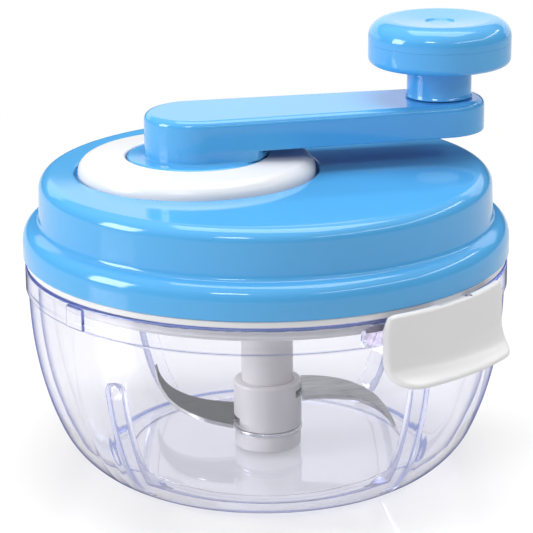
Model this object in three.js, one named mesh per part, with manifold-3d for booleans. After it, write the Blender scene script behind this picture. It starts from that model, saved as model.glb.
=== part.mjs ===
// A hand cranked food chopper: a clear bowl, a blade post that turns on a pin in the bowl's floor,
// and a latched lid that carries the crank and the gears. Millimetres, +Z up. The origin is the
// centre of the bowl's foot on the table, and the front, as seen in use, is -Y.

import * as THREE from "three";
import { mergeVertices } from "three/addons/utils/BufferGeometryUtils.js";
import Module from "manifold-3d";

const wasm = await Module();
wasm.setup();

// Clearances
const seatGap = 0.05;
const fitGap = 0.15;
const turnGap = 0.3;
const overrun = 1;
const weldDistance = 1e-4;

// Bowl
const bowlHeight = 58;
const bowlRadius = 64.6;
const bowlWall = 2.6;
const bandHeight = 6.6;
const bandDepth = 0.7;
const rimRound = 0.6;
const footInset = 22.6;
const footRun = 3.5;
const heelInset = 11.4;
const heelHeight = 4.2;
const wallFootInset = 7.6;
const wallFootHeight = 12.5;
const footWidth = 4;
const recessDepth = 1;
const ribAngle = 39;
const ribWidth = 5.4;
const ribDepth = 2.4;
const ribTop = 38;
const ribTopRound = 2.6;
const stopAngle = -138;
const stopWidth = 6.8;
const stopDepth = 0.6;
const catchOverhang = 4;
const catchDepth = 0.5;
const catchHeight = 6;
const catchRound = 2.9;

// Pivot pin in the bowl's floor
const pinRadius = 2;
const pinLength = 22;
const pinBossWall = 1.4;
const pinBossHeight = 1.6;
const pinSkin = 0.9;

// Blade post
const footDiscInset = 0.2;
const footDiscHeight = 4.8;
const spigotHeight = 5;
const plateOverhang = 0.2;
const plateThickness = 1;
const collarRadius = 9.4;
const collarHeight = 13.2;
const postRadius = 7.15;
const postRoom = 1.6;
const postWall = 3.2;
const socketDepth = 11;
const driveAcrossFlats = 7;

// Blades
const bladeThickness = 1;
const bladeEdge = 0.35;
const bladeBevel = 1.3;
const bladeRise = 4.8;
const bladeRootRoom = 0.1;
const bladeHalfRoot = 9.3;
const bladeTipRoom = 12.8;
const bladeTipAngle = -47;
const bladeTipRound = 0.6;
const outerBendShares = [0.64, 0.1];
const innerBendShares = [0.6, -0.142];
const tangWidth = 10;
const tangTaper = 1.2;
const tangDrop = 0.5;
const lowerBladeLift = 1.8;
const upperBladeLift = 9.6;

// Lid base
const lidLift = 0.1;
const baseOverhang = 0.4;
const baseThickness = 1.9;
const skirtRoom = 2.6;
const skirtWall = 2;
const skirtDepth = 4.2;
const skirtFlange = 1.4;
const skirtFlangeHeight = 0.9;
const gasketOverhang = 0.2;
const gasketLip = 0.7;
const bearingRadius = 8.5;
const journalRadius = 5;
const clipRadius = 7.6;
const clipThickness = 0.9;
const clipGrooveDepth = 0.6;
const clipMouth = 6;

// Lid cover
const coverWall = 2.2;
const flangeOverhang = 0.7;
const flangeLip = 3.6;
const ledgeHeight = 8.8;
const ledgeInset = 3.1;
const drumInset = 1.4;
const drumDraft = 0.3;
const drumHeight = 21.8;
const creaseRound = 1.6;
const shoulderRound = 3.6;
const screwBossRadius = 3.6;
const screwRadius = 1.4;
const screwDepth = 12;
const screwInset = 8.1;
const screwFrontAngle = 41;
const screwBackAngle = 160;

// Crank axis, gears and trim ring
const gearModule = 1.15;
const ringTeeth = 46;
const pinionTeeth = 14;
const pressureAngle = 20;
const toothGap = 0.13;
const ringTipShare = 0.68;
const toothTipShare = 1;
const toothRootShare = 1.25;
const gearHeight = 6;
const cupPlate = 2;
const cupWall = 2.3;
const cupHubRoom = 1.2;
const cupHubDrop = 4.2;
const seatRadius = 33;
const seatDepth = 2.2;
const trimRoom = 1;
const trimBore = 19.1;
const trimHeight = 6.4;
const trimWall = 2;
const trimRound = 3.8;
const trimSlope = 0.8;

// Crank
const discRoom = 0.4;
const discThickness = 2.6;
const discRise = 4.2;
const shaftRadius = 8.8;
const tenonAcrossFlats = 9.2;
const hubBossInset = 2.5;
const hubBossHeight = 2.8;
const armHubRadius = 13.9;
const armEndRadius = 12.4;
const armReach = 67.6;
const armYaw = 12.3;
const armThickness = 8.9;
const armRound = 2;
const armWall = 2.2;
const armBossRadius = 6;
const crankScrewRadius = 1.9;
const crankScrewDepth = 11;
const crankScrewHeadRadius = 4;
const crankScrewHeadHeight = 2.2;
const washerInset = 1.2;
const washerThickness = 1;

// Knob
const stemRadius = 8.8;
const stemHeight = 9;
const stemFlare = 0.5;
const knobRadius = 19.4;
const knobHeight = 12.3;
const knobSeam = 6.1;
const knobUnderRound = 1.8;
const knobCrownRound = 4.6;
const knobDish = 0.8;
const dimpleRadius = 4.2;
const dimpleDepth = 0.4;
const spindleRadius = 2.5;
const spindleThreadRadius = 2;
const spindleThreadLength = 7;
const spindleHeadRadius = 5;
const spindleHeadHeight = 2;
const knobWellRadius = 6.6;
const knobWellDepth = 4.6;
const capSpigotHeight = 1.8;

// Latches
const latchAngle = -45.5;
const latchHalfWidth = 22.2;
const latchHeight = 18.8;
const latchTopDrop = 0.35;
const latchRoom = 1.4;
const latchThickness = 2.3;
const latchLipReach = 5.2;
const latchLipHeight = 8.2;
const latchBead = 0.3;
const latchBeadHeight = 1.6;
const latchTopRound = 2.4;
const latchCornerRound = 7;
const hingeInset = 0.65;
const hingeDrop = 1.6;
const barrelRadius = 1.05;
const barrelLength = 12;
const earThickness = 0.7;
const hingePinRadius = 0.55;
const hingePinLength = 18;

// Facets round a full turn, and steps along a curve
const wideFacets = 44;
const middleFacets = 30;
const smallFacets = 20;
const pinFacets = 12;
const screwFacets = 8;
const curveSteps = 3;
const flankSteps = 1;

// Levels, from the table up
const floorTop = bowlWall;
const bandFoot = bowlHeight - bandHeight;
const rimRadius = bowlRadius + bandDepth;
const bowlBore = bowlRadius - bowlWall;
const footRadius = bowlRadius - footInset;
const heelRadius = bowlRadius - heelInset;
const wallFootRadius = bowlRadius - wallFootInset;
const recessRadius = footRadius - footWidth;
const bladeFoot = floorTop + turnGap;
const plateFoot = bladeFoot + footDiscHeight + seatGap;
const collarFoot = plateFoot + plateThickness + seatGap;
const collarTop = collarFoot + collarHeight;
const pinBossRadius = pinRadius + pinBossWall;
const footDiscRadius = collarRadius - footDiscInset;
const plateRadius = collarRadius + plateOverhang;
const bladeRootX = collarRadius + bladeRootRoom;
const catchWidth = 2 * (latchHalfWidth + catchOverhang);
const lidFoot = bowlHeight + lidLift;
const postTop = lidFoot - postRoom;
const bladeReach = bowlBore - bladeTipRoom;

// Levels inside the lid, from the underside of its base
const coverFoot = baseThickness + seatGap;
const deckTop = coverFoot + drumHeight;
const seatFloor = deckTop - seatDepth;
const panUnder = seatFloor - coverWall;
const cupTop = panUnder - 2 * turnGap;
const cupCeiling = cupTop - cupPlate;
const cupFoot = cupCeiling - gearHeight;
const pinionTop = cupCeiling - turnGap;
const pinionFoot = cupFoot + turnGap;
const bearingTop = pinionFoot - turnGap;
const hubFoot = cupCeiling - cupHubDrop;
const discTop = deckTop + discRise;
const armUnder = discTop + hubBossHeight;
const armTop = armUnder + armThickness;
const hingeLevel = coverFoot - latchTopDrop - hingeDrop;

// Radii of the lid, from the bowl's
const skirtRadius = bowlBore - skirtRoom;
const baseRadius = bowlRadius + baseOverhang;
const flangeRadius = baseRadius + flangeOverhang;
const ledgeRadius = flangeRadius - ledgeInset;
const drumRadius = ledgeRadius - drumInset;
const latchInnerRadius = baseRadius + latchRoom;
const latchOuterRadius = latchInnerRadius + latchThickness;
const hingeRadius = latchInnerRadius + hingeInset;

// Gears: the pinion turns on the bowl's axis inside the crank's ring of inner teeth
const ringPitch = (gearModule * ringTeeth) / 2;
const pinionPitch = (gearModule * pinionTeeth) / 2;
const pinionTip = pinionPitch + toothTipShare * gearModule;
const crankX = -(ringPitch - pinionPitch);
const cupRadius = ringPitch + toothRootShare * gearModule + cupWall;
const cupHubRadius = ringPitch - pinionPitch - pinionTip - cupHubRoom;
const washerRadius = cupHubRadius - washerInset;
const trimRadius = seatRadius - trimRoom;
const discRadius = trimBore - discRoom;
const hubBossRadius = discRadius - hubBossInset;

const radians = THREE.MathUtils.degToRad;

const bluePlastic = new THREE.MeshStandardMaterial({ color: 0x63b0ee, roughness: 0.16, metalness: 0 });
const whitePlastic = new THREE.MeshStandardMaterial({ color: 0xf1f0ef, roughness: 0.3, metalness: 0 });
const clearPlastic = new THREE.MeshStandardMaterial({
  color: 0xf4f4fb,
  roughness: 0.05,
  metalness: 0,
  transparent: true,
  opacity: 0.3,
});
const gearPlastic = new THREE.MeshStandardMaterial({ color: 0xe6e4dc, roughness: 0.45, metalness: 0 });
const silicone = new THREE.MeshStandardMaterial({ color: 0xf2f2f2, roughness: 0.6, metalness: 0 });
const steel = new THREE.MeshStandardMaterial({ color: 0x8d8f8c, roughness: 0.3, metalness: 1 });
const brightSteel = new THREE.MeshStandardMaterial({ color: 0xc9cacc, roughness: 0.18, metalness: 1 });

// Solids

function volumeOf(points, triangles) {
  const corner = (index) => new THREE.Vector3().fromArray(points, index * 3);
  let volume = 0;
  for (let i = 0; i < triangles.length; i += 3) {
    const [a, b, c] = [corner(triangles[i]), corner(triangles[i + 1]), corner(triangles[i + 2])];
    volume += a.dot(b.cross(c));
  }
  return volume;
}

function solid(geometry) {
  const bare = geometry.clone();
  bare.deleteAttribute("normal");
  bare.deleteAttribute("uv");
  const welded = mergeVertices(bare, weldDistance);
  const points = welded.attributes.position.array;
  const triangles = [];
  for (let i = 0; i < welded.index.count; i += 3) {
    const [a, b, c] = [welded.index.getX(i), welded.index.getX(i + 1), welded.index.getX(i + 2)];
    if (a !== b && b !== c && c !== a) triangles.push(a, b, c);
  }
  if (volumeOf(points, triangles) < 0) triangles.reverse();
  const vertProperties = new Float32Array(points);
  const triVerts = new Uint32Array(triangles);
  return new wasm.Manifold(new wasm.Mesh({ numProp: 3, vertProperties, triVerts }));
}

function mesh(name, body, material) {
  const cut = body.getMesh();
  const geometry = new THREE.BufferGeometry();
  geometry.setAttribute("position", new THREE.BufferAttribute(cut.vertProperties, 3));
  geometry.setIndex(new THREE.BufferAttribute(cut.triVerts, 1));
  geometry.computeVertexNormals();
  const result = new THREE.Mesh(geometry, material);
  result.name = name;
  return result;
}

function join(first, ...others) {
  return others.reduce((sum, other) => sum.add(other), first);
}

function cut(first, ...others) {
  return others.reduce((rest, other) => rest.subtract(other), first);
}

// Geometry

// A solid turned about +Z from an outline of [radius, height] points.
function turned(outline, facets, x = 0) {
  const points = outline.map(([radius, height]) => new THREE.Vector2(radius, height));
  if (outline[0][0] !== 0) points.push(points[0].clone());
  return solid(new THREE.LatheGeometry(points, facets).rotateX(Math.PI / 2).translate(x, 0, 0));
}

function tube(outer, inner, from, to, facets, x = 0) {
  return turned([[inner, from], [outer, from], [outer, to], [inner, to]], facets, x);
}

function rod(radius, from, to, facets, x = 0, y = 0) {
  const geometry = new THREE.CylinderGeometry(radius, radius, to - from, facets);
  return solid(geometry.rotateX(Math.PI / 2).translate(x, y, (from + to) / 2));
}

function extruded(shape, from, to, options = {}) {
  const settings = { depth: to - from, bevelEnabled: false, curveSegments: middleFacets, ...options };
  return new THREE.ExtrudeGeometry(shape, settings).translate(0, 0, from);
}

function shapeOf(points) {
  return new THREE.Shape(points.map(([x, y]) => new THREE.Vector2(x, y)));
}

function hexagon(acrossFlats) {
  const corner = acrossFlats / Math.sqrt(3);
  const sides = 6;
  const points = [];
  for (let i = 0; i < sides; i += 1) {
    const angle = (i * 2 * Math.PI) / sides;
    points.push([corner * Math.cos(angle), corner * Math.sin(angle)]);
  }
  return shapeOf(points);
}

function roundedPanel(halfWidth, low, high, lowRound, highRound) {
  const shape = new THREE.Shape();
  shape.moveTo(-halfWidth + lowRound, low);
  shape.lineTo(halfWidth - lowRound, low);
  shape.absarc(halfWidth - lowRound, low + lowRound, lowRound, -Math.PI / 2, 0);
  shape.lineTo(halfWidth, high - highRound);
  shape.absarc(halfWidth - highRound, high - highRound, highRound, 0, Math.PI / 2);
  shape.lineTo(-halfWidth + highRound, high);
  shape.absarc(-halfWidth + highRound, high - highRound, highRound, Math.PI / 2, Math.PI);
  shape.lineTo(-halfWidth, low + lowRound);
  shape.absarc(-halfWidth + lowRound, low + lowRound, lowRound, Math.PI, Math.PI * 1.5);
  return shape;
}

// A panel that stands square to the radius at the given angle, from one radius to another.
function standingPanel(shape, fromRadius, toRadius, degrees) {
  const geometry = extruded(shape, fromRadius, toRadius, { curveSegments: curveSteps });
  return geometry.rotateX(Math.PI / 2).rotateZ(Math.PI / 2).rotateZ(radians(degrees));
}

function curvePoints(curve, steps) {
  return curve.getPoints(steps).map((point) => [point.x, point.y]);
}

function quadratic(start, bend, end, steps = curveSteps) {
  const [a, b, c] = [start, bend, end].map(([x, y]) => new THREE.Vector2(x, y));
  return curvePoints(new THREE.QuadraticBezierCurve(a, b, c), steps);
}

function cubic(start, leave, arrive, end, steps = curveSteps) {
  const [a, b, c, d] = [start, leave, arrive, end].map(([x, y]) => new THREE.Vector2(x, y));
  return curvePoints(new THREE.CubicBezierCurve(a, b, c, d), steps);
}

// The outline moved to its left by a distance, corner by corner.
function offset(points, distance) {
  return points.map(([x, y], i) => {
    const [x0, y0] = points[Math.max(i - 1, 0)];
    const [x1, y1] = points[Math.min(i + 1, points.length - 1)];
    const length = Math.hypot(x1 - x0, y1 - y0);
    return [x - ((y1 - y0) * distance) / length, y + ((x1 - x0) * distance) / length];
  });
}

// Gear teeth: half the angle that a tooth spans at a radius, from its width at the pitch circle.
function halfToothAngle(radius, pitchRadius, toothWidth) {
  const pressure = radians(pressureAngle);
  const baseRadius = pitchRadius * Math.cos(pressure);
  const angle = Math.acos(Math.min(baseRadius / Math.max(radius, baseRadius), 1));
  return toothWidth / (2 * pitchRadius) + Math.tan(pressure) - pressure - Math.tan(angle) + angle;
}

function gearOutline(teeth, pitchRadius, rootRadius, tipRadius, toothWidth, steps) {
  const flank = [];
  for (let i = 0; i <= steps; i += 1) {
    const radius = rootRadius + ((tipRadius - rootRadius) * i) / steps;
    flank.push([radius, halfToothAngle(radius, pitchRadius, toothWidth)]);
  }
  const points = [];
  for (let tooth = 0; tooth < teeth; tooth += 1) {
    const middle = (tooth * 2 * Math.PI) / teeth;
    const rising = flank.map(([radius, half]) => [radius, middle - half]);
    const falling = flank.map(([radius, half]) => [radius, middle + half]).reverse();
    for (const [radius, angle] of [...rising, ...falling]) {
      points.push([radius * Math.cos(angle), radius * Math.sin(angle)]);
    }
  }
  return shapeOf(points);
}

// Bowl

function bowlOuterWall() {
  const wallSlope = (wallFootRadius - heelRadius) / (wallFootHeight - heelHeight);
  const wallFoot = [wallFootRadius, wallFootHeight];
  const wallBend = [bowlRadius, wallFootHeight + (bowlRadius - wallFootRadius) / wallSlope];
  const heel = cubic([footRadius, 0], [footRadius + footRun, 0], [heelRadius, heelHeight], wallFoot);
  return [...heel, ...quadratic(wallFoot, wallBend, [bowlRadius, bandFoot]).slice(1)];
}

// The strip of a bowl wall between two depths behind its outer face.
function wallStrip(nearDepth, farDepth) {
  const outer = bowlOuterWall();
  return [...offset(outer, nearDepth), ...offset(outer, farDepth).reverse()];
}

function bowlRibs() {
  const strip = turned(wallStrip(bowlWall / 2, bowlWall + ribDepth), wideFacets);
  const panel = roundedPanel(ribWidth / 2, floorTop / 2, ribTop, 0, ribTopRound);
  const ribs = [];
  for (const side of [-1, 1]) {
    for (const middle of [-90, 90]) {
      const fin = solid(standingPanel(panel, 0, rimRadius, middle + side * ribAngle));
      ribs.push(strip.intersect(fin));
    }
  }
  return ribs;
}

// A pad on the bowl's band, seen as a rounded panel from outside.
function bandPad(panel, depth, degrees) {
  const ring = tube(rimRadius + depth, bowlRadius, bandFoot, bowlHeight, wideFacets);
  return ring.intersect(solid(standingPanel(panel, 0, rimRadius + 2 * depth, degrees)));
}

function bowlPads() {
  const catchPanel = roundedPanel(catchWidth / 2, bandFoot, bandFoot + catchHeight, catchRound, catchRound);
  const stopPanel = roundedPanel(stopWidth / 2, bandFoot, bowlHeight - rimRound, rimRound, rimRound);
  const pads = [];
  for (const turn of [0, 180]) {
    pads.push(bandPad(catchPanel, catchDepth, latchAngle + turn));
    pads.push(bandPad(stopPanel, stopDepth, stopAngle + turn));
  }
  return pads;
}

function bowlBody() {
  const outer = bowlOuterWall();
  const inner = offset(outer, bowlWall);
  inner[inner.length - 1] = [bowlBore, bandFoot];
  const outline = [
    [0, 0],
    ...outer,
    [rimRadius, bandFoot],
    [rimRadius, bowlHeight - rimRound],
    [rimRadius - rimRound, bowlHeight],
    [bowlBore, bowlHeight],
    ...inner.reverse(),
    [0, floorTop],
  ];
  const shell = turned(outline, wideFacets);
  const pinBoss = rod(pinBossRadius, floorTop / 2, floorTop + pinBossHeight, smallFacets);
  const recess = rod(recessRadius, -overrun, recessDepth, wideFacets);
  const pinHoleTop = floorTop + 2 * pinBossHeight;
  const pinHole = rod(pinRadius + seatGap, recessDepth + pinSkin, pinHoleTop, smallFacets);
  return cut(join(shell, pinBoss, ...bowlRibs(), ...bowlPads()), recess, pinHole);
}

function pivotPin() {
  const from = recessDepth + pinSkin + seatGap;
  const to = from + pinLength;
  const tip = pinRadius / 2;
  return turned([[0, from], [pinRadius, from], [pinRadius, to - tip], [tip, to], [0, to]], smallFacets);
}

// Blade post, which turns on the pin

const pinBore = pinRadius + fitGap;
const postBore = postRadius - postWall;
const spigotRadius = postBore + overrun;

function bladeFootDisc() {
  const top = plateFoot - seatGap;
  const outline = [
    [pinBossRadius + turnGap, bladeFoot],
    [footDiscRadius, bladeFoot],
    [footDiscRadius, top],
    [spigotRadius - fitGap, top],
    [spigotRadius - fitGap, top + spigotHeight],
    [pinBore, top + spigotHeight],
    [pinBore, floorTop + pinBossHeight + turnGap],
    [pinBossRadius + turnGap, floorTop + pinBossHeight + turnGap],
  ];
  return turned(outline, smallFacets);
}

function bladePost() {
  const spigotTop = plateFoot + spigotHeight + turnGap;
  const socketFloor = postTop - socketDepth - overrun;
  const outline = [
    [0, socketFloor],
    [postBore, socketFloor - overrun],
    [postBore, spigotTop],
    [spigotRadius, spigotTop],
    [spigotRadius, collarFoot],
    [postRadius, collarFoot],
    [postRadius, postTop - rimRound],
    [postRadius - rimRound, postTop],
    [0, postTop],
  ];
  const socketShape = hexagon(driveAcrossFlats + 2 * fitGap);
  const socket = extruded(socketShape, socketFloor - 2 * overrun, postTop + overrun);
  return cut(turned(outline, smallFacets), solid(socket));
}

// The slot by which a blade's tang enters the collar, on the +X side.
function tangSlot(lift) {
  const half = tangWidth / 2 + turnGap;
  const reach = collarRadius + overrun;
  const shape = shapeOf([[0, -half], [reach, -half], [reach, half], [0, half]]);
  const foot = collarFoot + lift - turnGap - tangDrop;
  return extruded(shape, foot, collarFoot + lift + bladeThickness + turnGap);
}

function bladeCollar() {
  const outline = [
    [postRadius + fitGap, collarFoot],
    [collarRadius, collarFoot],
    [collarRadius, collarTop - rimRound],
    [collarRadius - rimRound, collarTop],
    [postRadius + fitGap, collarTop],
  ];
  const upperSlot = solid(tangSlot(upperBladeLift));
  const lowerSlot = solid(tangSlot(lowerBladeLift).rotateZ(Math.PI));
  return cut(turned(outline, middleFacets), upperSlot, lowerSlot);
}

function bladePlate() {
  return tube(plateRadius, spigotRadius + fitGap, plateFoot, plateFoot + plateThickness, middleFacets);
}

// One blade in its own frame: its root edge stands at x = 0, its tang points to -X.
function bladeOutline(inset) {
  const root = bladeHalfRoot - inset;
  const tipX = bladeReach * Math.cos(radians(bladeTipAngle));
  const tip = [tipX - bladeRootX, bladeReach * Math.sin(radians(bladeTipAngle))];
  const tipBack = [tip[0] - bladeTipRound, tip[1] + inset];
  const tipFront = [tip[0] - inset / 2, tip[1] + bladeTipRound + inset];
  const [innerX, innerY] = innerBendShares.map((share) => share * bladeReach);
  const [outerX, outerY] = outerBendShares.map((share) => share * bladeReach);
  const innerBend = [innerX - bladeRootX + inset / 2, innerY + inset];
  const outerBend = [outerX - bladeRootX - inset / 2, outerY - inset];
  const tang = postRadius + turnGap - bladeRootX;
  return [
    [tang, -tangWidth / 2 + tangTaper],
    [0, -tangWidth / 2],
    ...quadratic([0, -root], innerBend, tipBack, 2 * curveSteps),
    ...quadratic(tipFront, outerBend, [0, root], 2 * curveSteps),
    [0, tangWidth / 2],
    [tang, tangWidth / 2 - tangTaper],
  ];
}

// A closed body through outlines of equal length, each at its own height.
function lofted(layers) {
  const count = layers[0].points.length;
  const positions = layers.flatMap(({ points, height }) => points.flatMap(([x, y]) => [x, y, height]));
  const triangles = [];
  for (let layer = 0; layer + 1 < layers.length; layer += 1) {
    for (let i = 0; i < count; i += 1) {
      const next = (i + 1) % count;
      const [a, b] = [layer * count + i, layer * count + next];
      triangles.push(a, b, b + count, a, b + count, a + count);
    }
  }
  const cap = ({ points }) => {
    const corners = points.map(([x, y]) => new THREE.Vector2(x, y));
    return THREE.ShapeUtils.triangulateShape(corners, []);
  };
  const last = (layers.length - 1) * count;
  for (const [a, b, c] of cap(layers[0])) triangles.push(a, c, b);
  for (const [a, b, c] of cap(layers[layers.length - 1])) triangles.push(a + last, b + last, c + last);
  const geometry = new THREE.BufferGeometry();
  geometry.setAttribute("position", new THREE.Float32BufferAttribute(positions, 3));
  geometry.setIndex(triangles);
  return geometry;
}

function blade() {
  const layers = [
    { points: bladeOutline(0), height: 0 },
    { points: bladeOutline(0), height: bladeEdge },
    { points: bladeOutline(bladeBevel), height: bladeThickness },
  ];
  return solid(lofted(layers));
}

// A blade leaves the collar at a height above the collar's foot and rises outwards.
function placedBlade(name, lift, degrees) {
  const holder = new THREE.Group();
  const knife = mesh(name, blade(), steel);
  knife.position.set(bladeRootX, 0, collarFoot + lift);
  knife.rotation.y = -radians(bladeRise);
  holder.rotation.z = radians(degrees);
  holder.add(knife);
  return holder;
}

// Lid base, with its boss for the pinion, its skirt and the ears of the latches

const screwAngles = [screwFrontAngle, -screwFrontAngle, screwBackAngle, -screwBackAngle].map(radians);
const screwCircle = drumRadius - screwInset;
const onScrewCircle = (angle) => [screwCircle * Math.cos(angle), screwCircle * Math.sin(angle)];
const screwPlaces = screwAngles.map(onScrewCircle);

// A rod on the axis of a latch's hinge.
function hingeRod(radius, length) {
  const geometry = new THREE.CylinderGeometry(radius, radius, length, pinFacets);
  return geometry.translate(hingeRadius, 0, hingeLevel);
}

function hingeEar() {
  const reach = hingeRadius - baseRadius + 2 * barrelRadius;
  const bracket = new THREE.BoxGeometry(reach, barrelLength, earThickness);
  bracket.translate(hingeRadius - reach / 2, 0, hingeLevel + earThickness / 2);
  const barrel = hingeRod(barrelRadius, barrelLength);
  const bore = hingeRod(hingePinRadius + seatGap, 2 * barrelLength);
  return { bracket, barrel, bore };
}

function turnedBy(geometry, degrees) {
  return solid(geometry.rotateZ(radians(degrees)));
}

function lidBase() {
  const flangeOuter = skirtRadius + skirtFlange;
  const outline = [
    [journalRadius + fitGap, 0],
    [skirtRadius - skirtWall, 0],
    [skirtRadius - skirtWall, -skirtDepth],
    [flangeOuter, -skirtDepth],
    [flangeOuter, -skirtDepth + skirtFlangeHeight],
    [skirtRadius, -skirtDepth + skirtFlangeHeight],
    [skirtRadius, -skirtFlangeHeight],
    [flangeOuter, -skirtFlangeHeight],
    [flangeOuter, 0],
    [baseRadius, 0],
    [baseRadius, baseThickness],
    [bearingRadius, baseThickness],
    [bearingRadius, bearingTop],
    [journalRadius + fitGap, bearingTop],
  ];
  let body = turned(outline, wideFacets);
  for (const [x, y] of screwPlaces) {
    body = cut(body, rod(screwRadius, -overrun, baseThickness + overrun, screwFacets, x, y));
  }
  for (const degrees of [latchAngle, latchAngle + 180]) {
    const ear = hingeEar();
    body = join(body, turnedBy(ear.bracket, degrees), turnedBy(ear.barrel, degrees));
    body = cut(body, turnedBy(ear.bore, degrees));
  }
  return body;
}

function gasket() {
  const inner = skirtRadius + fitGap;
  const outer = bowlBore - gasketOverhang;
  const low = -skirtDepth + skirtFlangeHeight + fitGap;
  const high = -skirtFlangeHeight - fitGap;
  const waist = outer - gasketLip;
  const middle = (low + high) / 2;
  const outline = [[inner, low], [outer, low], [waist, middle], [outer, high], [inner, high]];
  return turned(outline, wideFacets);
}

// Lid cover

function coverOutline() {
  const wallTop = drumRadius - drumDraft;
  const shoulder = [wallTop - shoulderRound, deckTop];
  return [
    [0, deckTop - coverWall],
    [drumRadius - 2 * coverWall, deckTop - coverWall],
    [drumRadius - coverWall, deckTop - 2 * coverWall],
    [drumRadius - coverWall, coverFoot + ledgeHeight],
    [flangeRadius - coverWall, coverFoot + ledgeHeight - 2 * coverWall],
    [flangeRadius - coverWall, coverFoot],
    [flangeRadius, coverFoot],
    ...quadratic(
      [flangeRadius, coverFoot + flangeLip],
      [flangeRadius, coverFoot + ledgeHeight - creaseRound / 2],
      [ledgeRadius, coverFoot + ledgeHeight],
    ),
    [drumRadius, coverFoot + ledgeHeight + creaseRound],
    ...quadratic([wallTop, deckTop - shoulderRound], [wallTop, deckTop], shoulder),
    [0, deckTop],
  ];
}

function lidCover() {
  const pan = rod(seatRadius + coverWall, panUnder, deckTop - overrun / 2, wideFacets, crankX);
  const columns = (radius, from, to) => {
    return screwPlaces.map(([x, y]) => rod(radius, from, to, screwFacets, x, y));
  };
  const bosses = columns(screwBossRadius, coverFoot, deckTop - coverWall / 2);
  const pilots = columns(screwRadius, 0, coverFoot + screwDepth);
  const seat = rod(seatRadius, seatFloor, deckTop + overrun, wideFacets, crankX);
  const shaftHole = rod(shaftRadius + fitGap, 0, deckTop + overrun, middleFacets, crankX);
  return cut(join(turned(coverOutline(), wideFacets), pan, ...bosses), seat, shaftHole, ...pilots);
}

function trimRing() {
  const foot = seatFloor + seatGap;
  const top = foot + trimHeight;
  const shoulder = top - trimSlope;
  const crown = [trimRadius - trimRound, shoulder];
  const outline = [
    [trimBore, foot],
    [trimBore + trimWall, foot],
    [trimBore + trimWall, top - trimWall],
    [trimRadius - trimRound, shoulder - trimWall],
    [trimRadius - trimRound, foot],
    [trimRadius, foot],
    ...quadratic([trimRadius, shoulder - trimRound], [trimRadius, shoulder], crown),
    [trimBore, top],
  ];
  return turned(outline, middleFacets);
}

// Crank, in a frame on its own axis

function armShape(inset) {
  const tilt = Math.asin((armHubRadius - armEndRadius) / armReach);
  const side = Math.PI / 2 - tilt;
  const shape = new THREE.Shape();
  shape.absarc(0, 0, armHubRadius - inset, side, 2 * Math.PI - side);
  shape.absarc(armReach, 0, armEndRadius - inset, -side, side);
  return shape;
}

const armCurves = { curveSegments: 10 };

function armSlab() {
  const bevel = { bevelEnabled: true, bevelSize: armRound, bevelThickness: armRound, bevelSegments: 2 };
  const outline = armShape(armRound);
  const tall = extruded(outline, discTop - 2 * armRound, armTop - armRound, { ...bevel, ...armCurves });
  const keepArm = extruded(armShape(-overrun), armUnder, armTop + overrun, armCurves);
  const keepHub = rod(hubBossRadius, discTop - overrun / 2, armUnder + overrun, middleFacets);
  return solid(tall).intersect(solid(keepArm).add(keepHub));
}

function armPocket() {
  const hollow = solid(extruded(armShape(armWall), armUnder - overrun, armTop - armWall, armCurves));
  const hub = rod(hubBossRadius, 0, 2 * armTop, middleFacets);
  const boss = rod(armBossRadius, 0, 2 * armTop, smallFacets, armReach);
  return cut(hollow, hub, boss);
}

function crankArm() {
  const outline = [
    [0, cupTop + seatGap],
    [shaftRadius, cupTop + seatGap],
    [shaftRadius, discTop - discThickness],
    [discRadius, discTop - discThickness],
    [discRadius, discTop],
    [0, discTop],
  ];
  const body = join(turned(outline, middleFacets), cut(armSlab(), armPocket()));
  const spindleFoot = armTop - spindleThreadLength - overrun;
  const spindleHole = rod(spindleThreadRadius + seatGap, spindleFoot, 2 * armTop, smallFacets, armReach);
  return cut(body, spindleHole);
}

function crankTenon() {
  return solid(extruded(hexagon(tenonAcrossFlats), hubFoot + turnGap, cupTop + overrun));
}

function crankScrewHole() {
  return rod(crankScrewRadius + seatGap, 0, hubFoot + crankScrewDepth + overrun, pinFacets);
}

function ringGear() {
  const tips = ringPitch - ringTipShare * gearModule;
  const roots = ringPitch + toothRootShare * gearModule;
  const spaceWidth = (Math.PI * gearModule) / 2 + toothGap;
  const cup = rod(cupRadius, cupFoot, cupTop, wideFacets);
  const spaces = gearOutline(ringTeeth, ringPitch, tips, roots, spaceWidth, flankSteps);
  const teeth = extruded(spaces, cupFoot - overrun, cupCeiling);
  const hub = rod(cupHubRadius, hubFoot, cupCeiling + overrun, smallFacets);
  const socket = extruded(hexagon(tenonAcrossFlats + 2 * fitGap), 0, 2 * cupTop);
  return cut(join(cut(cup, solid(teeth)), hub), turnedBy(socket, armYaw));
}

function crankWasher() {
  const top = hubFoot - seatGap;
  return tube(washerRadius, crankScrewRadius + fitGap, top - washerThickness, top, smallFacets);
}

function crankScrew() {
  const headTop = hubFoot - 2 * seatGap - washerThickness;
  const outline = [
    [0, headTop - crankScrewHeadHeight],
    [crankScrewHeadRadius, headTop - crankScrewHeadHeight],
    [crankScrewHeadRadius, headTop],
    [crankScrewRadius, headTop],
    [crankScrewRadius, hubFoot + crankScrewDepth],
    [0, hubFoot + crankScrewDepth],
  ];
  return turned(outline, pinFacets);
}

// Pinion, with the drive that enters the blade post

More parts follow.
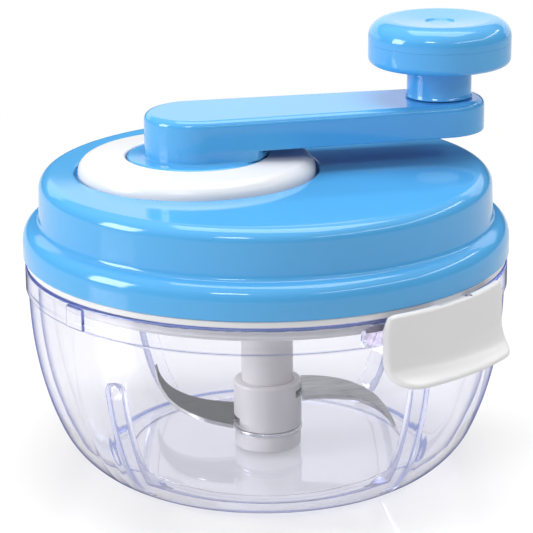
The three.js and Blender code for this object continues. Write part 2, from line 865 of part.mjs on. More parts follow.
function pinion() {
  const toothWidth = (Math.PI * gearModule) / 2 - toothGap;
  const roots = pinionPitch - toothRootShare * gearModule;
  const outside = gearOutline(pinionTeeth, pinionPitch, roots, pinionTip, toothWidth, 2 * flankSteps);
  const teeth = extruded(outside, pinionFoot, pinionTop);
  const groove = journalRadius - clipGrooveDepth;
  const grooveTop = -fitGap;
  const grooveFoot = grooveTop - clipThickness - 2 * seatGap;
  const journalFoot = grooveFoot - clipThickness / 2;
  const outline = [
    [0, journalFoot],
    [journalRadius, journalFoot],
    [journalRadius, grooveFoot],
    [groove, grooveFoot],
    [groove, grooveTop],
    [journalRadius, grooveTop],
    [journalRadius, pinionFoot + overrun],
    [0, pinionFoot + overrun],
  ];
  const driveFoot = postTop - socketDepth - lidFoot + turnGap;
  const drive = extruded(hexagon(driveAcrossFlats), driveFoot, journalFoot + overrun / 2);
  return join(solid(teeth), turned(outline, smallFacets), solid(drive));
}

function pinionClip() {
  const top = -fitGap - seatGap;
  const bore = journalRadius - clipGrooveDepth + seatGap;
  const ring = tube(clipRadius, bore, top - clipThickness, top, smallFacets);
  const mouth = new THREE.BoxGeometry(clipRadius * 2, clipMouth, clipRadius);
  return cut(ring, solid(mouth.translate(clipRadius, 0, 0)));
}

// Knob, in a frame on its own axis with the arm's top at zero

const knobUnder = turnGap + stemHeight;
const knobTop = knobUnder + knobHeight;
const seamLevel = knobUnder + knobSeam;
const wellFloor = seamLevel - knobWellDepth;

function knobBody() {
  const bore = spindleRadius + fitGap;
  const top = seamLevel - fitGap;
  const neckEnd = [stemRadius + knobUnderRound, knobUnder];
  const edgeEnd = [knobRadius, knobUnder + knobUnderRound];
  const outline = [
    [bore, turnGap],
    [stemRadius + stemFlare, turnGap],
    [stemRadius, turnGap + 2 * stemFlare],
    ...quadratic([stemRadius, knobUnder - 2 * stemFlare], [stemRadius, knobUnder], neckEnd),
    ...quadratic([knobRadius - knobUnderRound, knobUnder], [knobRadius, knobUnder], edgeEnd),
    [knobRadius, top],
    [knobWellRadius, top],
    [knobWellRadius, wellFloor],
    [bore, wellFloor],
  ];
  return turned(outline, middleFacets);
}

function knobCap() {
  const spigot = knobWellRadius - fitGap;
  const rim = knobTop - knobDish / 2;
  const crown = [knobRadius - knobCrownRound, knobTop];
  const outline = [
    [0, seamLevel - capSpigotHeight],
    [spigot, seamLevel - capSpigotHeight],
    [spigot, seamLevel],
    [knobRadius, seamLevel],
    ...quadratic([knobRadius, rim - knobCrownRound], [knobRadius, rim], crown),
    [dimpleRadius, knobTop - knobDish],
    [dimpleRadius - dimpleDepth, knobTop - knobDish - dimpleDepth],
    [0, knobTop - knobDish - dimpleDepth],
  ];
  return turned(outline, middleFacets);
}

function knobSpindle() {
  const head = wellFloor + fitGap;
  const outline = [
    [0, -spindleThreadLength],
    [spindleThreadRadius, -spindleThreadLength],
    [spindleThreadRadius, seatGap],
    [spindleRadius, seatGap],
    [spindleRadius, head],
    [spindleHeadRadius, head],
    [spindleHeadRadius, head + spindleHeadHeight],
    [0, head + spindleHeadHeight],
  ];
  return turned(outline, smallFacets);
}

// Latches: a curved plate about the bowl's axis, hung on a pin along its top

function latchSection() {
  const top = coverFoot - latchTopDrop;
  const foot = top - latchHeight;
  const lipTop = foot + latchLipHeight;
  const beadTop = bandFoot - lidFoot - turnGap;
  const beadFoot = beadTop - latchBeadHeight;
  const thickness = latchOuterRadius - latchInnerRadius;
  const lipOuter = latchOuterRadius + latchLipReach;
  const crown = [latchOuterRadius - thickness / 2, top];
  const innerFoot = [lipOuter - thickness, foot];
  return [
    [latchInnerRadius, top - thickness / 2],
    [latchInnerRadius, beadTop],
    [latchInnerRadius - latchBead, beadTop - latchBead],
    [latchInnerRadius - latchBead, beadFoot + latchBead],
    [latchInnerRadius, beadFoot],
    ...quadratic([latchInnerRadius, lipTop], [latchInnerRadius, foot + thickness], innerFoot),
    [lipOuter - latchBead, foot],
    ...quadratic(
      [lipOuter, foot + latchBead],
      [latchOuterRadius, foot + thickness],
      [latchOuterRadius, lipTop],
    ),
    ...quadratic([latchOuterRadius, top - thickness], [latchOuterRadius, top], crown),
  ];
}

function latchPlate() {
  const top = coverFoot - latchTopDrop;
  const panel = roundedPanel(latchHalfWidth, top - latchHeight, top, latchCornerRound, latchTopRound);
  const plate = turned(latchSection(), wideFacets);
  const body = plate.intersect(solid(standingPanel(panel, 0, 2 * latchOuterRadius, 0)));
  const room = barrelRadius + turnGap;
  const pocketWidth = barrelLength + 2 * turnGap;
  const pocket = new THREE.BoxGeometry(2 * room, pocketWidth, 2 * room + 2 * hingeDrop);
  pocket.translate(hingeRadius - turnGap, 0, hingeLevel + hingeDrop);
  const bore = hingeRod(hingePinRadius + seatGap, hingePinLength + seatGap);
  return cut(body, solid(pocket), solid(bore));
}

function latchPin() {
  return solid(hingeRod(hingePinRadius, hingePinLength));
}

// The object

function at(object, x, y, z) {
  object.position.set(x, y, z);
  return object;
}

function bladeGroup() {
  const group = new THREE.Group();
  group.add(mesh("blade_foot", bladeFootDisc(), whitePlastic));
  group.add(mesh("blade_plate", bladePlate(), brightSteel));
  group.add(mesh("blade_collar", bladeCollar(), whitePlastic));
  group.add(mesh("blade_post", bladePost(), whitePlastic));
  group.add(placedBlade("upper_blade", upperBladeLift, 0));
  group.add(placedBlade("lower_blade", lowerBladeLift, 180));
  return group;
}

function knobGroup() {
  const group = new THREE.Group();
  group.add(mesh("knob_spindle", knobSpindle(), brightSteel));
  group.add(mesh("knob_body", knobBody(), bluePlastic));
  group.add(mesh("knob_cap", knobCap(), bluePlastic));
  return group;
}

function crankGroup() {
  const group = new THREE.Group();
  const handle = new THREE.Group();
  handle.rotation.z = radians(armYaw);
  handle.add(mesh("crank_arm", cut(join(crankArm(), crankTenon()), crankScrewHole()), bluePlastic));
  handle.add(mesh("crank_washer", crankWasher(), brightSteel));
  handle.add(mesh("crank_screw", crankScrew(), brightSteel));
  handle.add(at(knobGroup(), armReach, 0, armTop));
  group.add(handle);
  group.add(mesh("ring_gear", ringGear(), gearPlastic));
  return group;
}

function latchGroup(side, degrees) {
  const group = new THREE.Group();
  group.rotation.z = radians(degrees);
  group.add(mesh(`latch_${side}`, latchPlate(), whitePlastic));
  group.add(mesh(`latch_pin_${side}`, latchPin(), brightSteel));
  return group;
}

function lidGroup() {
  const group = new THREE.Group();
  group.add(mesh("lid_base", lidBase(), whitePlastic));
  group.add(mesh("lid_gasket", gasket(), silicone));
  group.add(mesh("lid_cover", lidCover(), bluePlastic));
  group.add(at(mesh("trim_ring", trimRing(), whitePlastic), crankX, 0, 0));
  group.add(mesh("pinion", pinion(), gearPlastic));
  group.add(mesh("pinion_clip", pinionClip(), brightSteel));
  group.add(at(crankGroup(), crankX, 0, 0));
  group.add(latchGroup("right", latchAngle));
  group.add(latchGroup("left", latchAngle + 180));
  return group;
}

const chopper = new THREE.Group();
chopper.add(mesh("bowl", bowlBody(), clearPlastic));
chopper.add(mesh("pivot_pin", pivotPin(), brightSteel));
chopper.add(bladeGroup());
chopper.add(at(lidGroup(), 0, 0, lidFoot));

export default chopper;
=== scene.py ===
"""A hand-cranked food chopper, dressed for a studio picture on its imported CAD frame."""

import math
from types import SimpleNamespace
import bmesh
import bpy
from bpy.props import FloatProperty, FloatVectorProperty, PointerProperty
from mathutils import Matrix, Quaternion, Vector


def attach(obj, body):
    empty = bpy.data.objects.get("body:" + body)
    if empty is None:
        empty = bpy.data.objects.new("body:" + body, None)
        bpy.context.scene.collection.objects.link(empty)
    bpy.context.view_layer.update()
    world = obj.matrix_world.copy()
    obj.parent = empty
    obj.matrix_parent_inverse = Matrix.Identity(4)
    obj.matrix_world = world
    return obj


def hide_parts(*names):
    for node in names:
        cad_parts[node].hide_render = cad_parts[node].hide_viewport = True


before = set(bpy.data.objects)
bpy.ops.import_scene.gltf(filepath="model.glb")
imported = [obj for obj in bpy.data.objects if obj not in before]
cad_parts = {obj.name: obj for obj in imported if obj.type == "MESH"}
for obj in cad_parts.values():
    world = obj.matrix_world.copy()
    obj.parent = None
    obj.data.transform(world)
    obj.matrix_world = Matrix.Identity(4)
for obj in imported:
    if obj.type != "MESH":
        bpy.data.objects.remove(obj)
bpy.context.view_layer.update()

bl_info = {
    "name": "Food Chopper",
    "version": (1, 0, 0),
    "blender": (4, 5, 0),
    "location": "View3D > Sidebar > Chopper",
    "description": "Builds the dressed pieces of a hand-cranked food chopper on its CAD frame",
    "category": "Add Mesh",
}

MM = 0.001
PREFIX = "chopper_"

# Places in millimetres that several pieces share
COLLAR_FOOT = 8.8
HINGE_RADIUS, HINGE_HEIGHT, HINGE_BORE = 67.05, 58.1, 0.6
SCREW_HOLE, SCREW_BOSS = 1.4, 3.6
SCREW_CIRCLE, SCREW_TURNS = 53.1, (41, -41, 160, -160)


# Sizes and colours


def length(name, description, millimetres):
    return FloatProperty(
        name=name, description=description, default=millimetres * MM, unit="LENGTH", precision=5
    )


def angle(name, description, degrees):
    return FloatProperty(
        name=name, description=description, default=math.radians(degrees), unit="ROTATION"
    )


def colour(name, description, *shade):
    return FloatVectorProperty(
        name=name,
        description=description,
        subtype="COLOR_GAMMA",
        size=3,
        min=0,
        max=1,
        default=[part / 255 for part in shade],
    )


class BowlSizes(bpy.types.PropertyGroup):
    height: length("Height", "Height of the bowl to its rim", 58)
    radius: length("Wall radius", "Outer radius of the wall under the rim band", 64.6)
    wall: length("Wall", "Thickness of the wall and the floor", 2.6)
    foot: length("Foot radius", "Outer radius of the ring the bowl stands on", 42)
    foot_width: length("Foot width", "Width of the ring the bowl stands on", 4)
    recess: length("Recess", "Depth of the hollow inside the foot ring", 1)
    heel: length("Heel radius", "Radius where the wall turns up from the floor", 53.2)
    wall_foot: length("Wall foot radius", "Radius where the wall's long curve starts", 57)
    wall_foot_height: length("Wall foot height", "Height where the wall's long curve starts", 12.5)
    band_height: length("Band height", "Height of the band round the rim", 6.6)
    band_depth: length("Band depth", "How far the band stands out of the wall", 0.7)
    rib_angle: angle("Rib angle", "Angle of each rib from the front or back", 39)
    rib_width: length("Rib width", "Width of the ribs inside the wall", 5.4)
    rib_depth: length("Rib depth", "How far the ribs stand into the bowl", 2.4)
    rib_top: length("Rib top", "Height of the ribs' upper ends", 38)
    boss: length("Pin boss", "Radius of the boss that holds the pivot pin", 3.4)


class BladeSizes(bpy.types.PropertyGroup):
    reach: length("Reach", "Distance of a blade's tip from the axis", 49.2)
    thickness: length("Thickness", "Thickness of the sheet", 1)
    bevel: length("Bevel", "Width of the ground bevel", 0.8)
    rise: angle("Rise", "Angle at which the blades rise from the collar", 4.8)
    tip_angle: angle("Tip angle", "Angle of the tip behind the blade's root", 47)
    lower: length("Lower lift", "Height of the lower blade above the collar's foot", 1.8)
    upper: length("Upper lift", "Height of the upper blade above the collar's foot", 9.6)
    collar: length("Collar radius", "Radius of the collar that holds the blades", 9.4)
    post: length("Post radius", "Radius of the post", 7.15)
    post_top: length("Post top", "Height of the post's upper end", 56.5)


class LidSizes(bpy.types.PropertyGroup):
    foot: length("Foot", "Height of the plate under the cover", 58.1)
    plate_radius: length("Plate radius", "Radius of the plate under the cover", 65)
    flange: length("Flange radius", "Radius of the cover's flange", 65.7)
    ledge: length("Ledge radius", "Radius of the crease between flange and drum", 62.6)
    drum: length("Drum radius", "Radius of the cover's drum", 61.2)
    cover_foot: length("Cover foot", "Height of the cover's lower edge", 60.05)
    deck: length("Deck", "Height of the cover's flat top", 81.85)
    ledge_height: length("Ledge height", "Height of the crease above the cover's edge", 8.8)
    shoulder: length("Shoulder", "Rounding between drum and deck", 3.6)
    wall: length("Cover wall", "Thickness of the cover", 2.2)
    seat: length("Seat radius", "Radius of the sunk seat for the ring", 33)
    seat_depth: length("Seat depth", "Depth of the sunk seat", 2.2)
    ring: length("Ring radius", "Outer radius of the white ring", 32)
    ring_bore: length("Ring bore", "Inner radius of the white ring", 19.1)
    ring_top: length("Ring top", "Height of the white ring's inner edge", 86.1)


class CrankSizes(bpy.types.PropertyGroup):
    axis: length("Axis", "Place of the crank's axis, left of the bowl's", -18.4)
    disc: length("Disc radius", "Radius of the disc inside the white ring", 18.7)
    disc_top: length("Disc top", "Height of the disc", 86.05)
    under: length("Arm underside", "Height of the arm's underside", 88.85)
    top: length("Arm top", "Height of the arm's top", 97.75)
    hub: length("Hub radius", "Radius of the arm's wide end", 13.9)
    end: length("End radius", "Radius of the arm's narrow end", 12.4)
    reach: length("Reach", "Distance from the crank's axis to the knob's", 67.6)
    yaw: angle("Yaw", "Angle at which the arm rests", 12.3)
    edge: length("Edge", "Rounding of the arm's upper edge", 2)


class KnobSizes(bpy.types.PropertyGroup):
    stem: length("Stem radius", "Radius of the stem under the knob", 8.8)
    radius: length("Knob radius", "Radius of the knob", 19.4)
    under: length("Underside", "Height of the knob's underside", 107.05)
    seam: length("Seam", "Height of the seam between body and cap", 113.15)
    top: length("Top", "Height of the knob's top", 119.35)
    dish: length("Dish", "Depth of the dished top", 0.8)
    dimple: length("Dimple radius", "Radius of the dimple in the top", 4.2)


class LatchSizes(bpy.types.PropertyGroup):
    angle: angle("Angle", "Place of the right latch round the bowl", -45.5)
    half_width: length("Half width", "Half of the latch's width", 22.2)
    top: length("Top", "Height of the latch's upper edge", 59.7)
    height: length("Height", "Height of the latch", 18.8)
    inner: length("Inner radius", "Radius of the latch's inner face", 66.4)
    outer: length("Outer radius", "Radius of the latch's outer face", 68.7)
    lip: length("Lip", "How far the lower lip flares out", 5.2)
    lip_height: length("Lip height", "Height over which the lip flares", 8.2)
    corner: length("Corner", "Rounding of the lower corners", 7)
    top_corner: length("Top corner", "Rounding of the upper corners", 3.2)
    edge: length("Edge", "Width of the rounding along the edges", 1)


class FinishColours(bpy.types.PropertyGroup):
    blue: colour("Blue", "Cover, crank and knob", 86, 172, 230)
    white: colour("White", "Ring, latches and plate", 233, 232, 233)
    # The post's own white, made lighter than the white plastic as painted light for the shade it
    # stands in under the lid and behind the glass
    post: colour("Post", "Post, collar and foot", 243, 240, 240)
    tint: colour("Bowl tint", "Colour that the clear wall takes where it is thick", 176, 188, 250)
    # The two blades are one steel: the lower one darkened as painted shade, the upper one lightened
    # as painted light
    lower_blade: colour("Lower blade", "Brushed steel of the lower blade", 66, 68, 70)
    upper_blade: colour("Upper blade", "Brushed steel of the upper blade", 166, 167, 168)
    steel: colour("Bright steel", "Pins, screws and the plate in the blade post", 208, 208, 210)
    gear: colour("Gear plastic", "Gears inside the cover", 226, 222, 208)
    seal: colour("Seal", "Soft ring between lid and bowl", 236, 236, 236)
    floor: colour("Floor", "Floor of the studio", 208, 207, 206)


class StudioSizes(bpy.types.PropertyGroup):
    distance: length("Camera distance", "Distance of the camera from its aim", 600)
    elevation: angle("Elevation", "Angle of the camera above the floor", 17.2)
    roll: angle("Roll", "Turn of the camera about its own axis", -0.6)
    aim: length("Aim", "Height of the point that the camera looks at", 54)
    lens: FloatProperty(
        name="Lens",
        description="Focal length on a frame 36 mm wide",
        default=148.593,
        unit="CAMERA",
    )


def measures(name):
    """The settings of one group, with lengths in millimetres and angles in radians."""
    held = getattr(bpy.context.scene, PREFIX + name)
    values = SimpleNamespace()
    for key, prop in held.bl_rna.properties.items():
        if prop.type == "FLOAT":
            value = getattr(held, key)
            setattr(values, key, value / MM if prop.unit == "LENGTH" else value)
    return values


# Mesh tools

MERGE_DISTANCE = 1e-7


def arc(centre, start, end, steps):
    """Points of the shorter arc about a centre, from one point to another."""
    centre = Vector(centre)
    first, last = Vector(start) - centre, Vector(end) - centre
    turn = math.atan2(first.x * last.y - first.y * last.x, first.dot(last))
    points = []
    for i in range(steps + 1):
        c, s = math.cos(turn * i / steps), math.sin(turn * i / steps)
        points.append((centre.x + first.x * c - first.y * s, centre.y + first.x * s + first.y * c))
    return points


def sweep(radius, start, end, steps, x=0):
    """Points of an arc about (x, 0) between two angles."""
    turns = [start + (end - start) * i / steps for i in range(steps + 1)]
    return [(x + radius * math.cos(turn), radius * math.sin(turn)) for turn in turns]


def rounded(corners, steps=5):
    """Points of a closed outline in millimetres, each corner (x, y, radius) rounded."""
    points = []
    for i, corner in enumerate(corners):
        here = Vector(corner[:2])
        radius = corner[2] if len(corner) > 2 else 0
        if not radius:
            points.append(tuple(here))
            continue
        before = Vector(corners[i - 1][:2]) - here
        after = Vector(corners[(i + 1) % len(corners)][:2]) - here
        room = min(before.length, after.length)
        before.normalize()
        after.normalize()
        half = before.angle(after) / 2
        reach = min(radius / math.tan(half), room)
        centre = here + (before + after).normalized() * (reach / math.cos(half))
        points += arc(centre, here + before * reach, here + after * reach, steps)
    return points


def bezier(points, steps):
    """Points of a quadratic or cubic curve."""
    result = []
    for i in range(steps + 1):
        row = [Vector(p) for p in points]
        while len(row) > 1:
            row = [a.lerp(b, i / steps) for a, b in zip(row, row[1:])]
        result.append(tuple(row[0]))
    return result


def bridge(bm, rows, closed=True):
    """Faces between rows of equally many points."""
    for lower, upper in zip(rows, rows[1:]):
        for i in range(len(lower) if closed else len(lower) - 1):
            j = (i + 1) % len(lower)
            bm.faces.new((lower[i], lower[j], upper[j], upper[i]))


def skin(rings, wrap, painted_shades=()):
    """A body through rings of equally many points; wrap joins the last ring to the first, and
    colours given per point, which are painted shade, go into a colour layer.
    """
    bm = bmesh.new()
    # Colour layer of painted shade: dark lines drawn on the clear wall
    layer = bm.verts.layers.float_color.new("painted edge shade") if painted_shades else None
    rows = [[bm.verts.new(Vector(p) * MM) for p in ring] for ring in rings]
    for row, shades in zip(rows, painted_shades):
        for vert, shade in zip(row, shades):
            vert[layer] = (*shade, 1)
    bridge(bm, rows + rows[:1] if wrap else rows)
    bmesh.ops.remove_doubles(bm, verts=bm.verts, dist=MERGE_DISTANCE)
    return bm


def circle(x, y, radius, z, segments):
    turns = [2 * math.pi * i / segments for i in range(segments)]
    return [(x + radius * math.cos(t), y + radius * math.sin(t), z) for t in turns]


def lathe(outline, segments=160, x=0, y=0):
    """A turned body from a closed outline of (radius, height), in millimetres."""
    wrap = all(radius > 1e-6 for radius, _ in outline)
    return skin([circle(x, y, radius, z, segments) for radius, z in outline], wrap)


def pin(radius, low, high, segments, x=0, y=0):
    """A plain upright cylinder."""
    return lathe([(0, low), (radius, low), (radius, high), (0, high)], segments, x, y)


def stack(layers):
    """A body through flat outlines of equally many points, one above the other."""
    bm = bmesh.new()
    rows = [[bm.verts.new(Vector((x, y, z)) * MM) for x, y in points] for points, z in layers]
    bridge(bm, rows)
    bm.faces.new(rows[0][::-1])
    bm.faces.new(rows[-1])
    return bm


def block(x0, x1, half, low, high):
    """A box between two places on X, as wide to either side, between two heights."""
    outline = [(x0, -half), (x1, -half), (x1, half), (x0, half)]
    return stack([(outline, low), (outline, high)])


def moved(bm, *places):
    for place in places:
        bmesh.ops.transform(bm, matrix=place, verts=bm.verts)
    return bm


def shift(x, y=0, z=0):
    """Place of a body that is moved by so many millimetres."""
    return Matrix.Translation((x * MM, y * MM, z * MM))


def about(x, degrees):
    """Place of a body that is turned about an upright axis at x."""
    return shift(x) @ Matrix.Rotation(math.radians(degrees), 4, "Z")


def hinge_place():
    """Place of an upright body that is laid along a latch's hinge."""
    return shift(HINGE_RADIUS, 0, HINGE_HEIGHT) @ Matrix.Rotation(math.pi / 2, 4, "X")


def link(name, bm):
    """A mesh object from a bmesh."""
    bmesh.ops.recalc_face_normals(bm, faces=bm.faces)
    mesh = bpy.data.meshes.new(name)
    bm.to_mesh(mesh)
    bm.free()
    obj = bpy.data.objects.new(name, mesh)
    bpy.context.scene.collection.objects.link(obj)
    return obj


def turned(name, corners, steps=5, segments=96, x=0, y=0):
    """A turned object with rounded corners."""
    return link(name, lathe(rounded(corners, steps), segments, x, y))


def combine(obj, operation, *tools):
    """Joins or cuts a piece with bodies, which are used up."""
    for bm in tools:
        tool = link("tool", bm)
        modifier = obj.modifiers.new("combine", "BOOLEAN")
        modifier.operation, modifier.solver, modifier.object = operation, "EXACT", tool
        depsgraph = bpy.context.evaluated_depsgraph_get()
        result = bpy.data.meshes.new_from_object(obj.evaluated_get(depsgraph))
        obj.modifiers.clear()
        obj.data = result
        bpy.data.objects.remove(tool)


def dress(obj, body, slot, material, *nodes, sharp=32):
    """Smooths a piece, paints it, and fixes it to its body in place of its CAD nodes."""
    mesh = obj.data
    mesh.name = obj.name
    mesh.shade_smooth()
    mesh.set_sharp_from_angle(angle=math.radians(sharp))
    weighted = obj.modifiers.new("weighted normals", "WEIGHTED_NORMAL")
    weighted.keep_sharp = True
    mesh.materials.clear()
    mesh.materials.append(material)
    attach(obj, body)
    if nodes:
        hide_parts(*nodes)


def paint(material, *nodes):
    """Gives CAD nodes that stay in view their finish."""
    for node in nodes:
        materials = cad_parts[node].data.materials
        materials.clear()
        materials.append(material)


# Finishes

CLOUD_SCALE, WIPE_SCALE, WIPE_LEVEL, GRAIN_SCALE = 28.0, 90.0, 0.42, 2500.0
STEEL_CLOUD_SCALE, STREAK_WEAR = 60.0, 0.12


class Nodes:
    """Shorthand for adding and joining shader nodes."""

    def __init__(self, tree):
        self.tree = tree

    def add(self, kind, settings=None, **inputs):
        node = self.tree.nodes.new(kind)
        for name, value in (settings or {}).items():
            setattr(node, name, value)
        for name, value in inputs.items():
            self.put(node.inputs[name.replace("_", " ")], value)
        return node

    def put(self, socket, value):
        if isinstance(value, bpy.types.NodeSocket):
            self.tree.links.new(value, socket)
        else:
            socket.default_value = value

    def fill(self, kind, operation, *values):
        """A node whose inputs are filled in their order."""
        node = self.add(kind, {"operation": operation} if operation else None)
        for socket, value in zip(node.inputs, values):
            self.put(socket, value)
        return node.outputs[0]

    def math(self, operation, *values):
        return self.fill("ShaderNodeMath", operation, *values)

    def mix(self, share, first, second):
        return self.fill("ShaderNodeMixShader", None, share, first, second)

    def blend(self, amount, low, high):
        """A number between two numbers or sockets."""
        rise = self.math("MULTIPLY", amount, self.math("SUBTRACT", high, low))
        return self.math("ADD", low, rise)

    def ramp(self, kind, value, low, high, start, end):
        """A number from start to end as the value goes from low to high."""
        inputs = {"Value": value, "From_Min": low, "From_Max": high, "To_Min": start, "To_Max": end}
        return self.add("ShaderNodeMapRange", {"interpolation_type": kind}, **inputs).outputs[0]

    def noise(self, place, scale, detail):
        noise = self.add("ShaderNodeTexNoise", Vector=place, Scale=scale, Detail=detail)
        return noise.outputs["Fac"]

    def place(self, output="Object"):
        return self.add("ShaderNodeTexCoord").outputs[output]

    def shader(self, kind, **inputs):
        """The first output of a shader node."""
        return self.add("ShaderNode" + kind, **inputs).outputs[0]

    def surface(self, group, values, relief=True, **shader):
        """A Principled shader fed by an effect."""
        look = self.add("ShaderNodeGroup", {"node_tree": group}, **values).outputs
        shader |= {"Base_Color": look["Colour"], "Roughness": look["Roughness"]}
        if relief:
            shader["Normal"] = look["Normal"]
        return self.shader("BsdfPrincipled", **shader)

    def output(self, kind, **inputs):
        self.add("ShaderNodeOutput" + kind, **inputs)


def linear(name):
    """A colour of the settings as light, with full alpha."""
    shade = getattr(bpy.context.scene.chopper_colours, name)
    return (*[c / 12.92 if c <= 0.04045 else ((c + 0.055) / 1.055) ** 2.4 for c in shade], 1)


def effect(name, defaults, build):
    """A node group that turns a colour and named numbers into colour, roughness and normal.

    build adds the nodes, and returns a tone about 0, how far it shades the colour, the
    roughness and the height of the relief.
    """
    group = bpy.data.node_groups.get(name)
    if group:
        return group
    group = bpy.data.node_groups.new(name, "ShaderNodeTree")
    kinds = {3: "NodeSocketVector", 4: "NodeSocketColor"}
    for label, value in ({"Colour": (0.5, 0.5, 0.5, 1)} | defaults).items():
        kind = kinds[len(value)] if isinstance(value, tuple) else "NodeSocketFloat"
        socket = group.interface.new_socket(name=label, in_out="INPUT", socket_type=kind)
        socket.default_value = value
    for label, kind in (("Colour", "Color"), ("Roughness", "Float"), ("Normal", "Vector")):
        group.interface.new_socket(name=label, in_out="OUTPUT", socket_type="NodeSocket" + kind)
    n = Nodes(group)
    inputs = n.add("NodeGroupInput").outputs
    tone, contrast, rough, height = build(n, inputs, n.place())
    shaded = n.add(
        "ShaderNodeVectorMath",
        {"operation": "SCALE"},
        Scale=n.math("MULTIPLY_ADD", tone, contrast, 1.0),
    )
    n.put(shaded.inputs[0], inputs["Colour"])
    bump = n.add("ShaderNodeBump", Strength=1.0, Distance=1.0, Height=height)
    out = n.add("NodeGroupOutput")
    for socket, value in zip(out.inputs, (shaded.outputs[0], rough, bump.outputs["Normal"])):
        n.put(socket, value)
    return group


def moulded(n, inputs, place):
    """Cloudy colour, wiped gloss, a faint ripple and grain."""
    cloud = n.math("SUBTRACT", n.noise(place, CLOUD_SCALE, 3.0), 0.5)
    wipes = n.math("SUBTRACT", n.noise(place, WIPE_SCALE, 3.0), WIPE_LEVEL)
    rough = n.math("ADD", inputs["Roughness"], n.math("MULTIPLY", wipes, inputs["Wipe marks"]))
    ripple = n.noise(place, inputs["Ripple size"], 1.0)
    grain = n.math("MULTIPLY", n.noise(place, GRAIN_SCALE, 2.0), inputs["Grain height"])
    height = n.math("ADD", n.math("MULTIPLY", ripple, inputs["Ripple height"]), grain)
    return cloud, inputs["Clouding"], rough, height


def brushed(n, inputs, place):
    """Fine parallel streaks in colour, gloss and relief."""
    streaks = n.fill("ShaderNodeVectorMath", "MULTIPLY", place, inputs["Streaks"])
    streak = n.noise(streaks, 1.0, 4.0)
    cloud = n.math("MULTIPLY", n.noise(place, STEEL_CLOUD_SCALE, 2.0), 0.5)
    tone = n.math("SUBTRACT", n.math("ADD", streak, cloud), 0.75)
    rough = n.math("ADD", inputs["Roughness"], n.math("MULTIPLY", tone, STREAK_WEAR))
    return tone, inputs["Contrast"], rough, n.math("MULTIPLY", streak, inputs["Streak height"])


MOULDED = {
    "Clouding": 0.04,
    "Roughness": 0.2,
    "Wipe marks": 0.05,
    "Ripple size": 120.0,
    "Ripple height": 2e-5,
    "Grain height": 0.0,
}
BRUSHED = {
    "Contrast": 0.3,
    "Roughness": 0.3,
    "Streaks": (40.0, 2200.0, 2200.0),
    "Streak height": 1e-5,
}
PLASTICS = {
    "blue": ("Blue plastic", 1.5, 0.05, 0.09, 0.04, 60, 2e-5, 2e-7),
    "white": ("White plastic", 1.48, 0.004, 0.27, 0.006, 40, 3e-6, 0),
    "post": ("Post plastic", 1.47, 0.02, 0.36, 0.1, 120, 1e-5, 1e-6),
    "gear": ("Gear plastic", 1.46, 0.05, 0.42, 0.1, 120, 1e-5, 2e-6),
    "seal": ("Seal rubber", 1.41, 0.05, 0.55, 0.12, 120, 1e-5, 4e-6),
}
STEELS = {
    # One steel in two copies: the lower blade's darkened as painted shade, the upper blade's
    # lightened as painted light
    "lower_blade": ("Brushed lower blade", 1.3, 0.3, (60, 1300, 1300), 1.2e-5),
    "upper_blade": ("Brushed upper blade", 1.3, 0.3, (60, 1300, 1300), 1.2e-5),
    "steel": ("Bright steel", 0.2, 0.2, (700, 700, 120), 4e-6),
}
WHITE = (1, 1, 1, 1)
CLEAR_IOR, CLEAR_DENSITY = 1.5, 22.0
# Painted shade that the clear wall takes at glancing angles, and the lavender of rays let out of it
PAINTED_DARK_EDGE, LET_OUT = (0.2, 0.23, 0.55, 1), (0.84, 0.86, 0.97, 1)
LAMP_THROUGH = (0.975, 0.974, 0.98, 1)
# Share of mirrored light where the painted dark edge starts and is full, and where light is held
# inside
EDGE_START, EDGE_FULL, EDGE_SHARE, HELD_FROM = 0.28, 0.7, 0.85, 0.97
MOST_BOUNCES, MOST_MIRRORINGS = 6.0, 1.0
FLOOR_GLOW = 0.42
# Distances in metres over which the floor turns into the background
FADE_START, FADE_END = 0.12, 0.5


def moulded_effect():
    return effect("Moulded surface", MOULDED, moulded)


def brushed_effect():
    return effect("Brushed steel", BRUSHED, brushed)


def fresh(name):
    """A material with an empty node tree."""
    material = bpy.data.materials.new(name)
    material.use_nodes = True
    material.node_tree.nodes.clear()
    return material, Nodes(material.node_tree)


def filled(labels, values, **others):
    """The inputs of an effect, with the values in the order of its labels."""
    return {label.replace(" ", "_"): value for label, value in zip(labels, values)} | others


def coated(name, group, values, **shader):
    """A material of one Principled shader fed by one effect."""
    material = bpy.data.materials.get(name)
    if not material:
        material, n = fresh(name)
        n.output("Material", Surface=n.surface(group, values, **shader))
    return material


def plastic(shade):
    """A moulded material by the name of its colour."""
    name, ior, *values = PLASTICS[shade]
    return coated(name, moulded_effect(), filled(MOULDED, values, Colour=linear(shade)), IOR=ior)


def steel(shade):
    """A brushed material by the name of its colour."""
    name, *values = STEELS[shade]
    values = filled(BRUSHED, values, Colour=linear(shade))
    return coated(name, brushed_effect(), values, Metallic=1.0)


